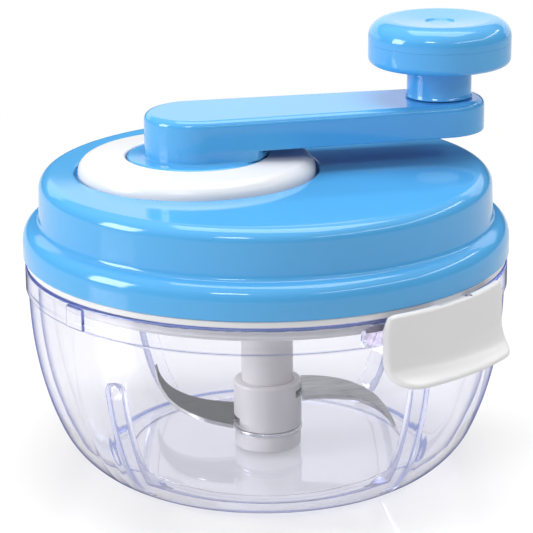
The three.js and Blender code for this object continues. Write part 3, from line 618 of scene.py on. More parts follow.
def clear_plastic():
    """Clear, with a painted dark edge at glancing angles and painted dark lines from the mesh;
    lamps shine through it, and rays caught inside are let out.
    """
    material, n = fresh("Clear plastic")
    # Base colour from the mesh's painted shade layer: clear, with painted dark lines
    tint = n.add("ShaderNodeVertexColor", {"layer_name": "painted edge shade"}).outputs["Color"]
    values = filled(MOULDED, (0.01, 0.02, 0.04, 60, 3e-5), Colour=tint)
    clear = n.surface(moulded_effect(), values, IOR=CLEAR_IOR, Transmission_Weight=1.0)
    glance = n.shader("Fresnel", IOR=CLEAR_IOR)
    # Painted shade: the wall darkens towards its glancing edges
    line = n.ramp("SMOOTHSTEP", glance, EDGE_START, EDGE_FULL, 0.0, EDGE_SHARE)
    back = n.add("ShaderNodeNewGeometry").outputs["Backfacing"]
    held = n.math("MULTIPLY", n.math("GREATER_THAN", glance, HELD_FROM), back)
    share = n.math("MULTIPLY", line, n.math("SUBTRACT", 1.0, held))
    edged = n.mix(share, clear, n.shader("BsdfTransparent", Color=PAINTED_DARK_EDGE))
    ray = n.add("ShaderNodeLightPath").outputs
    long = n.math("GREATER_THAN", ray["Ray Depth"], MOST_BOUNCES)
    mirrored = n.math("GREATER_THAN", ray["Glossy Depth"], MOST_MIRRORINGS)
    trapped = n.math("MAXIMUM", long, mirrored)
    freed = n.mix(trapped, edged, n.shader("BsdfTransparent", Color=LET_OUT))
    lamp = n.math("MAXIMUM", ray["Is Shadow Ray"], ray["Is Diffuse Ray"])
    through = n.shader("BsdfTransparent", Color=LAMP_THROUGH)
    body = n.shader("VolumeAbsorption", Color=linear("tint"), Density=CLEAR_DENSITY)
    n.output("Material", Surface=n.mix(lamp, freed, through), Volume=body)
    return material


def seen_by(n):
    """1 for the camera and for what glass shows, half for gloss, 0 for rays that light."""
    ray = n.add("ShaderNodeLightPath").outputs
    seen = n.math("MAXIMUM", ray["Is Camera Ray"], n.math("MULTIPLY", ray["Is Glossy Ray"], 0.5))
    return n.math("MAXIMUM", seen, ray["Is Transmission Ray"])


def studio_floor():
    """Pale floor under the piece that turns into the white background further out."""
    material, n = fresh("Studio floor")
    values = filled(MOULDED, (0.01, 0.16, 0.04, 120, 0), Colour=linear("floor"))
    surface = n.surface(moulded_effect(), values, relief=False, IOR=1.35)
    seen = n.math("MULTIPLY", seen_by(n), FLOOR_GLOW)
    glow = n.shader("Emission", Color=WHITE, Strength=seen)
    near = n.fill("ShaderNodeAddShader", None, surface, glow)
    away = n.add("ShaderNodeVectorMath", {"operation": "LENGTH"})
    n.put(away.inputs[0], n.place())
    far = n.ramp("SMOOTHSTEP", away.outputs["Value"], FADE_START, FADE_END, 0.0, 1.0)
    white = n.shader("Emission", Color=WHITE)
    n.output("Material", Surface=n.mix(n.math("MULTIPLY", far, seen_by(n)), near, white))
    return material


# Bowl

# Clear colour of the wall, the painted shade of dark lines along its rim, band, foot, ribs and pad
# outlines, and the painted mauve shade that fills the catch pads
CLEAR, PAINTED_EDGE_SHADE, PAINTED_CATCH_SHADE = (0.965, 0.962, 0.972), (0.1, 0.16, 0.55), (0.3, 0.25, 0.36)
FOOT_FLAT, HEEL_HEIGHT = 3.5, 4.2
# Columns of points beside a rib's middle, and rows and columns over a pad, for round edges
BESIDE_RIB = (3.3, 2.95, 2.7, 2.62, 2.5, 2.3, 1.9, 1.1)
PAD_INSETS = (-0.3, 0, 0.08, 0.25, 0.5, 0.9, 1.5, 2.2, 2.9)
PAD_LEVELS = (0, 0.12, 0.3, 0.6, 1.1, 1.8, 2.6, 3.4, 4.2, 4.9, 5.4, 5.7, 5.88, 6)
PANEL_SPANS, LEAST_SPAN = 44, 0.05
# Within this radius the ribs narrow towards the middle
RIB_ROOT = 40
RIB_EDGE, RIB_RUN_OUT, RIB_ROUND = 0.45, 2.5, 2.6
PAD_EDGE, PAD_OUTLINE = 0.25, 0.3
CATCH_CORNER, CATCH_MARGIN = 2.9, 4
STOP_TURNS, STOP_HALF_WIDTH, STOP_CORNER = (-138, 42), 3.4, 0.6


def with_painted_shade(share, tint=PAINTED_EDGE_SHADE):
    """The clear colour, drawn towards a painted shade."""
    return tuple(c + (t - c) * share for c, t in zip(CLEAR, tint))


def bowl_wall(s):
    """The outer line of the bowl's wall from its foot to the band, with its inward normals."""
    start = (s.wall_foot, s.wall_foot_height)
    slope = (s.wall_foot - s.heel) / (s.wall_foot_height - HEEL_HEIGHT)
    line = bezier([(s.foot, 0), (s.foot + FOOT_FLAT, 0), (s.heel, HEEL_HEIGHT), start], 22)
    bend = (s.radius, s.wall_foot_height + (s.radius - s.wall_foot) / slope)
    line += bezier([start, bend, (s.radius, s.height - s.band_height)], 60)[1:]
    normals = []
    for i in range(len(line)):
        before, after = Vector(line[max(i - 1, 0)]), Vector(line[min(i + 1, len(line) - 1)])
        along = (after - before).normalized()
        normals.append(Vector((-along.y, along.x)))
    normals[0], normals[-1] = Vector((0, 1)), Vector((-1, 0))
    return line, normals


def panel_depth(across, height, half_width, low, high, low_round, high_round):
    """How deep a point lies inside a rounded panel."""
    middle = (low + high) / 2
    corner = high_round if height > middle else low_round
    x = abs(across) - half_width + corner
    y = abs(height - middle) - (high - low) / 2 + corner
    if x > 0 and y > 0:
        return corner - math.hypot(x, y)
    return corner - max(x, y)


def swell(depth, edge, height):
    """Height of a pad with a rounded edge, from the depth inside its outline."""
    if depth <= 0:
        return 0
    share = min(depth / edge, 1)
    return height * math.sqrt(1 - (1 - share) ** 2)


def bowl_pads():
    """Pads on the band: (place in degrees, half width, corner, lift, painted shade of the outline).
    """
    latch = measures("latch")
    catch, half_width = math.degrees(latch.angle), latch.half_width + CATCH_MARGIN
    pads = [(turn, half_width, CATCH_CORNER, 0.5, 0.5) for turn in (catch, catch + 180)]
    return pads + [(turn, STOP_HALF_WIDTH, STOP_CORNER, 0.6, 0.9) for turn in STOP_TURNS]


def bowl_columns(s, pads):
    """Each column as (rib, offset) beside a rib, or (rib, next rib, share) between two."""
    angle = math.degrees(s.rib_angle)
    ribs = [90 - angle, 90 + angle, 270 - angle, 270 + angle]
    edge = math.degrees(math.asin(BESIDE_RIB[0] / (s.radius - s.wall)))
    offsets = [-offset for offset in BESIDE_RIB] + [0, *BESIDE_RIB[::-1]]
    columns = []
    for rib, following in zip(ribs, ribs[1:] + [ribs[0] + 360]):
        columns += [(rib, offset) for offset in offsets]
        first, last = rib + edge, following - edge
        wanted = [first + (last - first) * i / PANEL_SPANS for i in range(1, PANEL_SPANS)]
        for middle, half_width, corner, *_ in pads:
            for inset in [inset for inset in PAD_INSETS if inset <= corner]:
                turn = math.degrees(math.asin((half_width - inset) / (s.radius + s.band_depth)))
                for place in (middle - turn, middle + turn):
                    wanted += [p for p in (place - 360, place, place + 360) if first < p < last]
        wanted.sort()
        kept = [wanted[0]]
        for place in wanted[1:]:
            if place - kept[-1] > LEAST_SPAN:
                kept.append(place)
        columns += [(rib, following, (p - first) / (last - first)) for p in kept]
    return columns


def column_angle(column, radius):
    """Angle of a column where the wall has that radius, so that ribs keep their width."""
    radius = max(radius, RIB_ROOT)
    if len(column) == 2:
        return math.radians(column[0]) + math.asin(column[1] / radius)
    rib, following, share = column
    turn = math.asin(BESIDE_RIB[0] / radius)
    first, last = math.radians(rib) + turn, math.radians(following) - turn
    return first + (last - first) * share


def bowl_shell(s):
    """The bowl as one skin, from the middle of its underside over the rim to its floor."""
    pads = bowl_pads()
    columns = bowl_columns(s, pads)
    line, normals = bowl_wall(s)
    bore, band, band_foot = s.radius - s.wall, s.radius + s.band_depth, s.height - s.band_height
    points, painted_shades = [], []

    def add(row):
        """A row of (radius, height, angle, painted shade)."""
        points.append([(r * math.cos(turn), r * math.sin(turn), z) for r, z, turn, _ in row])
        painted_shades.append([shade for *_, shade in row])

    def round_rows(outline):
        """Rows from (radius, height) or (radius, height, share of painted edge shade)."""
        for r, z, *share in outline:
            shade = with_painted_shade(share[0] if share else 0)
            add([(r, z, column_angle(column, bore), shade) for column in columns])

    def band_point(z, turn):
        # Painted shade: a dark line fading up from the band's foot, dark outlines round the pads
        # and a mauve fill inside the catch pads
        reach, shade = band, with_painted_shade(max(0, 1 - (z - band_foot) / 0.6) * 0.8)
        high = band_foot + PAD_LEVELS[-1]
        for middle, half_width, corner, lift, outline_shade in pads:
            away = turn - math.radians(middle)
            if math.cos(away) > 0:
                across = band * math.sin(away)
                depth = panel_depth(across, z, half_width, band_foot, high, corner, corner)
                reach = max(reach, band + swell(depth, PAD_EDGE, lift))
                if -0.05 < depth < PAD_OUTLINE:
                    shade = with_painted_shade(outline_shade)
                elif depth >= PAD_OUTLINE and half_width > STOP_HALF_WIDTH:
                    shade = with_painted_shade(1, PAINTED_CATCH_SHADE)
        return reach, z, turn, shade

    def inner_point(column, place, normal):
        lift, share, rise = 0, 0, place.y - s.wall
        if len(column) == 2:
            depth = panel_depth(column[1], place.y, s.rib_width / 2, -9, s.rib_top, 0, RIB_ROUND)
            lift = swell(depth, RIB_EDGE, s.rib_depth) * min(max(rise / RIB_RUN_OUT, 0), 1)
            # Painted shade: dark lines along the ribs' outlines, fading in above the floor
            if -0.01 < depth < 0.02 or 0.35 < depth < 0.5:
                share = 0.7 * min(max(rise / 8, 0), 1)
        return (*(place + normal * lift), column_angle(column, place.x), with_painted_shade(share))

    inside, recess, boss = s.foot - s.foot_width, s.recess, s.boss
    round_rows([(0, recess), (6, recess), (20, recess), (inside - 0.8, recess)])
    round_rows(arc((inside - 0.4, recess - 0.4), (inside - 0.4, recess), (inside, 0.6), 3))
    round_rows([(inside, 0.35), (inside + 0.1, 0.1), (inside + 0.35, 0)])
    # Painted shade: a dark line on the wall near the foot ring
    round_rows([(r, z, 1 if 2 < i < 6 else 0) for i, (r, z) in enumerate(line[:-1])])
    # Painted shade: a dark line under the band
    round_rows([(s.radius, band_foot - 0.25, 0.6), (s.radius + 0.2, band_foot, 1)])
    round_rows([(band - 0.15, band_foot, 1)])
    for level in PAD_LEVELS:
        add([band_point(band_foot + level, column_angle(column, bore)) for column in columns])
    top = s.height
    # Painted shade: a dark line over the rim's outer rounding and top
    rim = arc((band - 0.6, top - 0.6), (band, top - 0.6), (band - 0.6, top), 6)
    round_rows([(r, z, 1) for r, z in rim + [(band - 1.4, top), (bore + 0.9, top)]])
    round_rows(arc((bore + 0.5, top - 0.5), (bore + 0.5, top), (bore, top - 0.5), 5))
    round_rows([(bore, top - 1.5), (bore, band_foot + 0.8)])
    for (x, z), normal in list(zip(line, normals))[::-1]:
        place = Vector((x, z)) + normal * s.wall
        add([inner_point(column, place, normal) for column in columns])
    floor = s.wall
    # Painted shade: a faint dark line where the inner floor meets the wall
    round_rows([(41.75, floor, 0.35), (41, floor), (36, floor), (24, floor), (12, floor)])
    round_rows([(boss + 0.7, floor)])
    round_rows(arc((boss + 0.5, floor + 0.5), (boss + 0.5, floor), (boss, floor + 0.5), 4))
    round_rows([(boss, floor + 1.3), (boss - 0.3, floor + 1.6), (2.3, floor + 1.6)])
    round_rows([(2.05, floor + 1.35), (2.05, 1.9), (0, 1.9)])
    return skin(points, False, painted_shades)


class CHOPPER_OT_bowl(bpy.types.Operator):
    """Builds the clear bowl with its ribs, rim band, stops and catch pads"""

    bl_idname = "chopper.bowl"
    bl_label = "Bowl"

    def execute(self, context):
        bowl = link("bowl_shell", bowl_shell(measures("bowl")))
        dress(bowl, "bowl", "clear_plastic", clear_plastic(), "bowl", sharp=40)
        paint(steel("steel"), "pivot_pin")
        return {"FINISHED"}


# Blade post

ROOT_HALF_WIDTH, ROOT_GAP = 9.3, 0.1
# Bends of the blade's inner and outer edge, as shares of its reach
INNER_BEND, OUTER_BEND = (0.6, -0.142), (0.64, 0.1)
BLADE_TURNS = {"upper": 0, "lower": 180}
# Faces whose normals rise more than this are flat sheet, the others are ground
FLAT = 0.93
SLEEVE_TOP, SLOT_HALF_WIDTH, SOCKET_ACROSS, SOCKET_DEPTH = 22, 5.3, 7.3, 13


def blade_outline(s, inset):
    """Outline of a blade with its tang, its root at x = 0."""
    root, root_x = ROOT_HALF_WIDTH - inset, s.collar + ROOT_GAP
    tip_x = s.reach * math.cos(s.tip_angle) - root_x
    tip_y = -s.reach * math.sin(s.tip_angle)
    inner = (INNER_BEND[0] * s.reach - root_x + inset / 2, INNER_BEND[1] * s.reach + inset)
    outer = (OUTER_BEND[0] * s.reach - root_x - inset / 2, OUTER_BEND[1] * s.reach - inset)
    front = bezier([(0, -root), inner, (tip_x - 0.6, tip_y + inset)], 28)
    back = bezier([(tip_x - inset / 2, tip_y + 0.6 + inset), outer, (0, root)], 28)
    tang = s.post + 0.3 - root_x
    return [(tang, -3.8), (0, -5), *front, *back, (0, 5), (tang, 3.8)]


class CHOPPER_OT_blades(bpy.types.Operator):
    """Builds the two sickle blades from bevelled sheet"""

    bl_idname = "chopper.blades"
    bl_label = "Blades"

    def execute(self, context):
        s = measures("blade")
        thick, bevel = s.thickness, s.bevel
        layers = [(0.1, 0), (0, 0.08), (0, 0.33), (bevel - 0.25, thick - 0.06), (bevel, thick)]
        for side, turn in BLADE_TURNS.items():
            name, sheet = side + "_blade", stack([(blade_outline(s, i), z) for i, z in layers])
            root = shift(s.collar + ROOT_GAP, 0, COLLAR_FOOT + getattr(s, side))
            place = about(0, turn) @ root @ Matrix.Rotation(-s.rise, 4, "Y")
            blade = link(name + "_sheet", moved(sheet, place))
            dress(blade, "blades", "blade_steel", steel(name), name, sharp=14)
            # Tops take the blade's own painted shade or painted light copy, undersides the light
            # copy, ground bevels bright steel
            for shade in ("steel", "upper_blade"):
                blade.data.materials.append(steel(shade))
            for face in blade.data.polygons:
                flat, under = abs(face.normal.z) > FLAT, face.normal.z < 0
                face.material_index = (2 if under else 0) if flat else 1
        return {"FINISHED"}


class CHOPPER_OT_post(bpy.types.Operator):
    """Builds the foot, plate, slotted collar and socketed post that carry the blades"""

    bl_idname = "chopper.post"
    bl_label = "Blade post"

    def execute(self, context):
        s = measures("blade")
        collar, post, top = s.collar, s.post, s.post_top
        foot = [(3.7, 2.9, 0.2), (collar - 0.2, 2.9, 0.5), (collar - 0.2, 7.7, 0.5)]
        foot += [(4.8, 7.7), (4.8, 12.75, 0.4), (2.15, 12.75), (2.15, 4.5), (3.7, 4.5)]
        disc = turned("foot_disc", foot)
        dress(disc, "blades", "white_plastic", plastic("post"), "blade_foot")
        plate = [(5.1, 7.75), (collar + 0.2, 7.75, 0.25), (collar + 0.2, 8.75, 0.25), (5.1, 8.75)]
        ring = turned("spacer_plate", plate, 3)
        dress(ring, "blades", "bright_steel", steel("steel"), "blade_plate")
        sleeve = [(post + 0.15, COLLAR_FOOT), (collar, COLLAR_FOOT, 0.35)]
        sleeve += [(collar, SLEEVE_TOP, 0.8), (post + 0.15, SLEEVE_TOP)]
        sleeve = turned("blade_sleeve", sleeve)
        for lift, side in ((s.upper, 1), (s.lower, -1)):
            root = COLLAR_FOOT + lift
            slot = block(0, side * 12, SLOT_HALF_WIDTH, root - 0.8, root + 1.3)
            combine(sleeve, "DIFFERENCE", slot)
        dress(sleeve, "blades", "white_plastic", plastic("post"), "blade_collar")
        tube = [(0, top - SOCKET_DEPTH + 1), (3.95, top - SOCKET_DEPTH)]
        tube += [(3.95, 13.05), (4.95, 13.05)]
        tube += [(4.95, COLLAR_FOOT), (post, COLLAR_FOOT, 0.3), (post, top, 0.9), (0, top)]
        tube = turned("drive_post", tube)
        hexagon = sweep(SOCKET_ACROSS / math.sqrt(3), 0, math.radians(300), 5)
        socket = stack([(hexagon, top - SOCKET_DEPTH - 1), (hexagon, top + 1)])
        combine(tube, "DIFFERENCE", socket)
        dress(tube, "blades", "white_plastic", plastic("post"), "blade_post")
        return {"FINISHED"}


# Lid

BEARING_BORE, BEARING, SKIRT, GROOVE, SEAL_SIDE, PLATE = 5.15, 8.5, 57.4, 59.4, 60.8, 1.9
EAR_ROOT, EAR_HALF_WIDTH, EAR_RISE, EAR_BARREL = 64, 6, 0.7, 1.05


def screw_places():
    turns = [math.radians(turn) for turn in SCREW_TURNS]
    return [(SCREW_CIRCLE * math.cos(turn), SCREW_CIRCLE * math.sin(turn)) for turn in turns]


class CHOPPER_OT_lid_plate(bpy.types.Operator):
    """Builds the white plate under the cover, with its skirt, bearing, ears and screws"""

    bl_idname = "chopper.lid_plate"
    bl_label = "Lid plate"

    def execute(self, context):
        s = measures("lid")
        foot, edge = s.foot, s.plate_radius
        corners = [(BEARING_BORE, foot, 0.3), (SKIRT, foot, 0.8), (SKIRT, foot - 4.2, 0.3)]
        corners += [(SEAL_SIDE, foot - 4.2, 0.25), (SEAL_SIDE, foot - 3.3), (GROOVE, foot - 3.3)]
        corners += [(GROOVE, foot - 0.9), (SEAL_SIDE, foot - 0.9), (SEAL_SIDE, foot)]
        corners += [(edge, foot, 0.5), (edge, foot + PLATE, 0.3), (BEARING, foot + PLATE, 0.8)]
        corners += [(BEARING, foot + 10.75, 0.4), (BEARING_BORE, foot + 10.75, 0.3)]
        plate = turned("lid_plate", corners, 3, 192)
        turn = math.degrees(measures("latch").angle)
        for degrees in (turn, turn + 180):
            place = about(0, degrees)
            ear = (EAR_HALF_WIDTH, HINGE_HEIGHT, HINGE_HEIGHT + EAR_RISE)
            bracket = moved(block(EAR_ROOT, HINGE_RADIUS, *ear), place)
            lying = place @ hinge_place()
            barrel = moved(pin(EAR_BARREL, -EAR_HALF_WIDTH, EAR_HALF_WIDTH, 32), lying)
            combine(plate, "UNION", bracket, barrel)
            combine(plate, "DIFFERENCE", moved(pin(HINGE_BORE, -9, 9, 32), lying))
        holes = [pin(SCREW_HOLE, 57, 61, 24, *place) for place in screw_places()]
        combine(plate, "DIFFERENCE", *holes)
        dress(plate, "lid", "white_plastic", plastic("white"), "lid_base")
        head = [(0, 56.6), (0.1, 56.6), (2.6, 56.75, 0.5), (2.7, 58.1), (1.25, 58.1)]
        head += [(1.25, 69, 0.3), (0, 69.6)]
        for i, (x, y) in enumerate(screw_places()):
            screw = turned(f"lid_screw_{i + 1}", head, 4, 40, x, y)
            for degrees in (20, 110):
                slot = moved(block(-1.5, 1.5, 0.3, 56, 57.5), about(0, degrees), shift(x, y))
                combine(screw, "DIFFERENCE", slot)
            dress(screw, "lid", "bright_steel", steel("steel"))
        paint(plastic("seal"), "lid_gasket")
        return {"FINISHED"}


class CHOPPER_OT_cover(bpy.types.Operator):
    """Builds the blue cover: flange, crease, drum, deck and the sunk seat beside the middle"""

    bl_idname = "chopper.cover"
    bl_label = "Cover"

    def execute(self, context):
        s = measures("lid")
        foot, deck, wall, drum, flange = s.cover_foot, s.deck, s.wall, s.drum, s.flange
        crease = foot + s.ledge_height
        outside = [(flange - 0.3, foot), (flange, foot + 0.3), (flange, foot + 1.6)]
        outside += bezier([(flange, foot + 3.6), (flange, crease - 0.8), (s.ledge, crease)], 20)
        bend = [(s.ledge - 0.2, crease + 0.05), (drum + 0.1, crease + 0.3), (drum, crease + 1.9)]
        outside += bezier(bend, 8) + [(drum - 0.05, crease + 3.2)]
        drum_top, low = drum - 0.3, deck - s.shoulder
        outer = drum_top - s.shoulder
        outside += arc((outer, low), (drum_top, low), (outer, deck), 12) + [(outer - 0.8, deck)]
        seat, floor = s.seat, deck - s.seat_depth
        sunk = [(seat + 1.2, deck), (seat + 0.45, deck)]
        sunk += arc((seat + 0.45, deck - 0.45), (seat + 0.45, deck), (seat, deck - 0.45), 4)
        sunk += [(seat, floor + 0.3), (seat - 0.3, floor), (20, floor), (8.95, floor)]
        sunk += [(8.95, floor - wall), (seat + wall, floor - wall), (seat + wall, deck - wall)]
        inside = [(drum - 2 * wall, deck - wall), (drum - wall, deck - 2 * wall)]
        inside += [(drum - wall, crease), (flange - wall, crease - 2 * wall), (flange - wall, foot)]
        rings = []
        for x, line in ((0, outside), (measures("crank").axis, sunk), (0, inside)):
            rings += [circle(x, 0, r, z, 192) for r, z in line]
        cover = link("cover_shell", skin(rings, True))
        boss_top = deck - wall / 2
        boss = [(0, boss_top), (0, foot + 12), (SCREW_HOLE, foot + 12), (SCREW_HOLE, foot)]
        boss += [(SCREW_BOSS, foot), (SCREW_BOSS, boss_top)]
        for place in screw_places():
            combine(cover, "UNION", skin([circle(*place, r, z, 32) for r, z in boss], True))
        dress(cover, "lid", "blue_plastic", plastic("blue"), "lid_cover", sharp=28)
        return {"FINISHED"}


class CHOPPER_OT_ring(bpy.types.Operator):
    """Builds the raised white ring round the crank's disc"""

    bl_idname = "chopper.ring"
    bl_label = "White ring"

    def execute(self, context):
        s = measures("lid")
        foot, radius, bore, top = s.deck - s.seat_depth + 0.05, s.ring, s.ring_bore, s.ring_top
        corners = [(bore, foot), (bore + 2, foot), (bore + 2, top - 2), (radius - 3.8, top - 2.9)]
        corners += [(radius - 2, top - 4.6), (radius - 2, foot), (radius, foot, 0.4)]
        corners += [(radius, top - 0.8, 3.8), (bore, top, 0.6)]
        ring = turned("raised_ring", corners, 10, 192, measures("crank").axis)
        dress(ring, "lid", "white_plastic", plastic("white"), "trim_ring")
        return {"FINISHED"}


class CHOPPER_OT_gears(bpy.types.Operator):
    """Paints the gears and fasteners of the drive inside the cover"""

    bl_idname = "chopper.gears"
    bl_label = "Drive"

    def execute(self, context):
        paint(plastic("gear"), "ring_gear", "pinion")
        paint(steel("steel"), "pinion_clip", "crank_washer", "crank_screw")
        return {"FINISHED"}


# Crank and knob

ARM_WALL = 2.2


def arm_side(s):
    """Angle at which the arm's straight sides leave its round ends."""
    return math.pi / 2 - math.asin((s.hub - s.end) / s.reach)


def arm_outline(s, inset):
    """Outline of the arm about the crank's axis, pointing to +X."""
    side = arm_side(s)
    hub = sweep(s.hub - inset, side, 2 * math.pi - side, 48)
    return hub + sweep(s.end - inset, -side, side, 48, s.reach)


def hub_outline(s, inset, radius):
    """The part of the arm's outline that lies inside a circle about the crank's axis."""
    side, hub = arm_side(s), s.hub - inset
    half = side - math.acos(hub / radius)
    return sweep(hub, side, 2 * math.pi - side, 48) + sweep(radius, -half, half, 24)


class CHOPPER_OT_crank(bpy.types.Operator):
    """Builds the crank: shaft, disc, hub and hollow arm in one"""

    bl_idname = "chopper.crank"
    bl_label = "Crank"

    def execute(self, context):
        s = measures("crank")
        top, under, edge, disc, disc_top = s.top, s.under, s.edge, s.disc, s.disc_top
        corners = [(0, 81.7), (1.95, 81.7), (1.95, 70.7), (4.6, 70.7, 0.3), (4.6, 76.9)]
        corners += [(8.8, 76.9, 0.4), (8.8, disc_top - 2.6, 0.4), (disc, disc_top - 2.6, 0.4)]
        corners += [(disc, disc_top, 0.9), (0, disc_top)]
        crank = turned("crank_handle", corners, 6, 128)
        layers = [(0.5, under), (0.15, under + 0.15), (0, under + 0.5), (0, top - edge)]
        for i in range(1, 9):
            turn = math.pi / 2 * i / 8
            layers.append((edge * (1 - math.cos(turn)), top - edge + edge * math.sin(turn)))
        arm = stack([(arm_outline(s, inset), z) for inset, z in layers])
        fillet = [(-0.5, disc_top - 0.4, disc - 1), (-0.5, disc_top, disc - 1)]
        fillet += [(-0.2, disc_top + 0.12, disc - 0.8), (0, disc_top + 0.45, disc + 0.6)]
        fillet += [(0.001, under + 0.6, disc + 1)]
        hub = stack([(hub_outline(s, inset, radius), z) for inset, z, radius in fillet])
        combine(crank, "UNION", hub, arm)
        hollow = arm_outline(s, ARM_WALL)
        pocket = link("pocket", stack([(hollow, under - 1), (hollow, top - ARM_WALL)]))
        combine(pocket, "DIFFERENCE", pin(disc - 1, 60, 120, 96), pin(6, 60, 120, 48, s.reach))
        cutter = bmesh.new()
        cutter.from_mesh(pocket.data)
        bpy.data.objects.remove(pocket)
        combine(crank, "DIFFERENCE", cutter, pin(2, 90.7, 99, 32, s.reach))
        crank.data.transform(about(s.axis, math.degrees(s.yaw)))
        dress(crank, "crank", "blue_plastic", plastic("blue"), "crank_arm", sharp=28)
        return {"FINISHED"}


class CHOPPER_OT_knob(bpy.types.Operator):
    """Builds the knob's stem and its dished cap, with the seam between them"""

    bl_idname = "chopper.knob"
    bl_label = "Knob"

    def execute(self, context):
        s, crank = measures("knob"), measures("crank")
        x = crank.axis + crank.reach * math.cos(crank.yaw)
        y = crank.reach * math.sin(crank.yaw)
        stem, radius, under, seam, foot = s.stem, s.radius, s.under, s.seam, crank.top + 0.3
        corners = [(2.65, foot), (stem + 0.5, foot, 0.3), (stem, foot + 1, 0.8)]
        corners += [(stem, under, 1), (radius, under, 1.9), (radius, seam - 0.02, 0.04)]
        corners += [(6.6, seam - 0.02), (6.6, seam - 4.6), (2.65, seam - 4.6)]
        body = turned("knob_stem", corners, 9, 144, x, y)
        dress(body, "knob", "blue_plastic", plastic("blue"), "knob_body")
        dish, dimple, low = s.top - s.dish, s.dimple, s.top - s.dish - 0.4
        corners = [(0, seam - 1.8), (6.45, seam - 1.8, 0.3), (6.45, seam), (radius, seam, 0.04)]
        corners += [(radius, s.top - s.dish / 2, 4.8), (radius - 5.6, s.top, 2.4)]
        corners += [(dimple, dish, 0.25), (dimple - 0.4, low, 0.2), (0, low)]
        cap = turned("knob_top", corners, 12, 144, x, y)
        dress(cap, "knob", "blue_plastic", plastic("blue"), "knob_cap")
        paint(steel("steel"), "knob_spindle")
        return {"FINISHED"}


# Latches

# Distances of the rows and columns from the latch's edges, closer where it rounds off
NOSE = [0, 0.04, 0.12, 0.25, 0.42, 0.64, 0.9]
FLARE_RUNS = [1.2, 1.6, 2.1, 2.7, 3.4, 4.2, 5, 5.8, 6.6, 7.4, 8.2, 9, 10.4, 10.6, 11.6, 11.8]
FLARE_RUNS += [14, 16]
BEAD_LOW, BEAD_HIGH, BEAD_LIFT = 49.5, 51.1, 0.3
# Share of the thickness that the lip has at its edge, and the run to the full thickness
LIP_THICKNESS, LIP_RUN = 0.74, 6


def latch_rows(s):
    """Middle line of the latch from lip to top: (point, outward normal, half thickness, run)."""
    outer, top, half = s.outer, s.top, (s.outer - s.inner) / 2
    foot = top - s.height
    bend = foot + s.lip_height
    face = bezier([(outer + s.lip, foot + 1.7), (outer, foot + 2 * half), (outer, bend)], 40)
    face += [(outer, bend + (top - bend) * i / 40) for i in range(1, 41)]
    runs = [0]
    for a, b in zip(face, face[1:]):
        runs.append(runs[-1] + math.dist(a, b))
    rows = []
    for run in NOSE + FLARE_RUNS + [runs[-1] - step for step in NOSE[::-1]]:
        i = max(k for k in range(len(runs) - 1) if runs[k] <= run + 1e-9)
        share = (run - runs[i]) / (runs[i + 1] - runs[i])
        here = Vector(face[i]).lerp(Vector(face[i + 1]), share)
        ahead = Vector(face[min(i + 2, len(face) - 1)]) - Vector(face[max(i - 1, 0)])
        normal = Vector((ahead.y, -ahead.x)).normalized()
        thick = half * (LIP_THICKNESS + (1 - LIP_THICKNESS) * min(run / LIP_RUN, 1))
        rows.append((here - normal * thick, normal, thick, run))
    return rows


def latch_reach(s, run, total):
    """Half of the latch's width at a place between its lip and its top."""
    if run < s.corner:
        return s.half_width - s.corner + math.sqrt(s.corner**2 - (s.corner - run) ** 2)
    rise = run - total + s.top_corner
    if rise > 0:
        return s.half_width - s.top_corner + math.sqrt(max(s.top_corner**2 - rise**2, 0))
    return s.half_width


def latch_body(s):
    """The curved plate in the latch's own frame, its middle on +X."""
    rows = latch_rows(s)
    total, rim = rows[-1][3], NOSE + [1.3]
    bm = bmesh.new()
    outer, inner = [], []
    for level, (middle, normal, thick, run) in enumerate(rows):
        reach = latch_reach(s, run, total)
        across = [-reach + step for step in rim]
        across += [(reach - rim[-1]) * (2 * i / 32 - 1) for i in range(1, 32)]
        across += [reach - step for step in rim[::-1]]
        for side, grid in ((1, outer), (-1, inner)):
            line = []
            for column, y in enumerate(across):
                border = level in (0, len(rows) - 1) or column in (0, len(across) - 1)
                if border and side < 0:
                    line.append(outer[level][column])
                    continue
                depth = panel_depth(y, run, s.half_width, 0, total, s.corner, s.top_corner)
                lift = 0 if border else swell(depth, s.edge, thick)
                if side < 0 and BEAD_LOW < middle.y < BEAD_HIGH and abs(y) < s.half_width - 3:
                    lift += BEAD_LIFT
                r, z = middle + normal * side * lift
                line.append(bm.verts.new(Vector((math.sqrt(r**2 - y**2), y, z)) * MM))
            grid.append(line)
    for grid in (outer, inner):
        bridge(bm, grid, closed=False)
    return bm


class CHOPPER_OT_latches(bpy.types.Operator):
    """Builds the two curved latches that hang on the lid plate"""

    bl_idname = "chopper.latches"
    bl_label = "Latches"

    def execute(self, context):
        s = measures("latch")
        turn = math.degrees(s.angle)
        for side, degrees in (("right", turn), ("left", turn + 180)):
            latch = link(f"latch_plate_{side}", latch_body(s))
            bore = moved(pin(HINGE_BORE, -9.05, 9.05, 24), hinge_place())
            combine(latch, "DIFFERENCE", block(65.4, 68.1, 6.3, 56.75, 62.65), bore)
            latch.data.transform(about(0, degrees))
            body = f"latch_{side}"
            dress(latch, body, "white_plastic", plastic("white"), body, sharp=30)
            paint(steel("steel"), f"latch_pin_{side}")
        return {"FINISHED"}


# Studio

MIDDLE = (0, 0, 0.06)
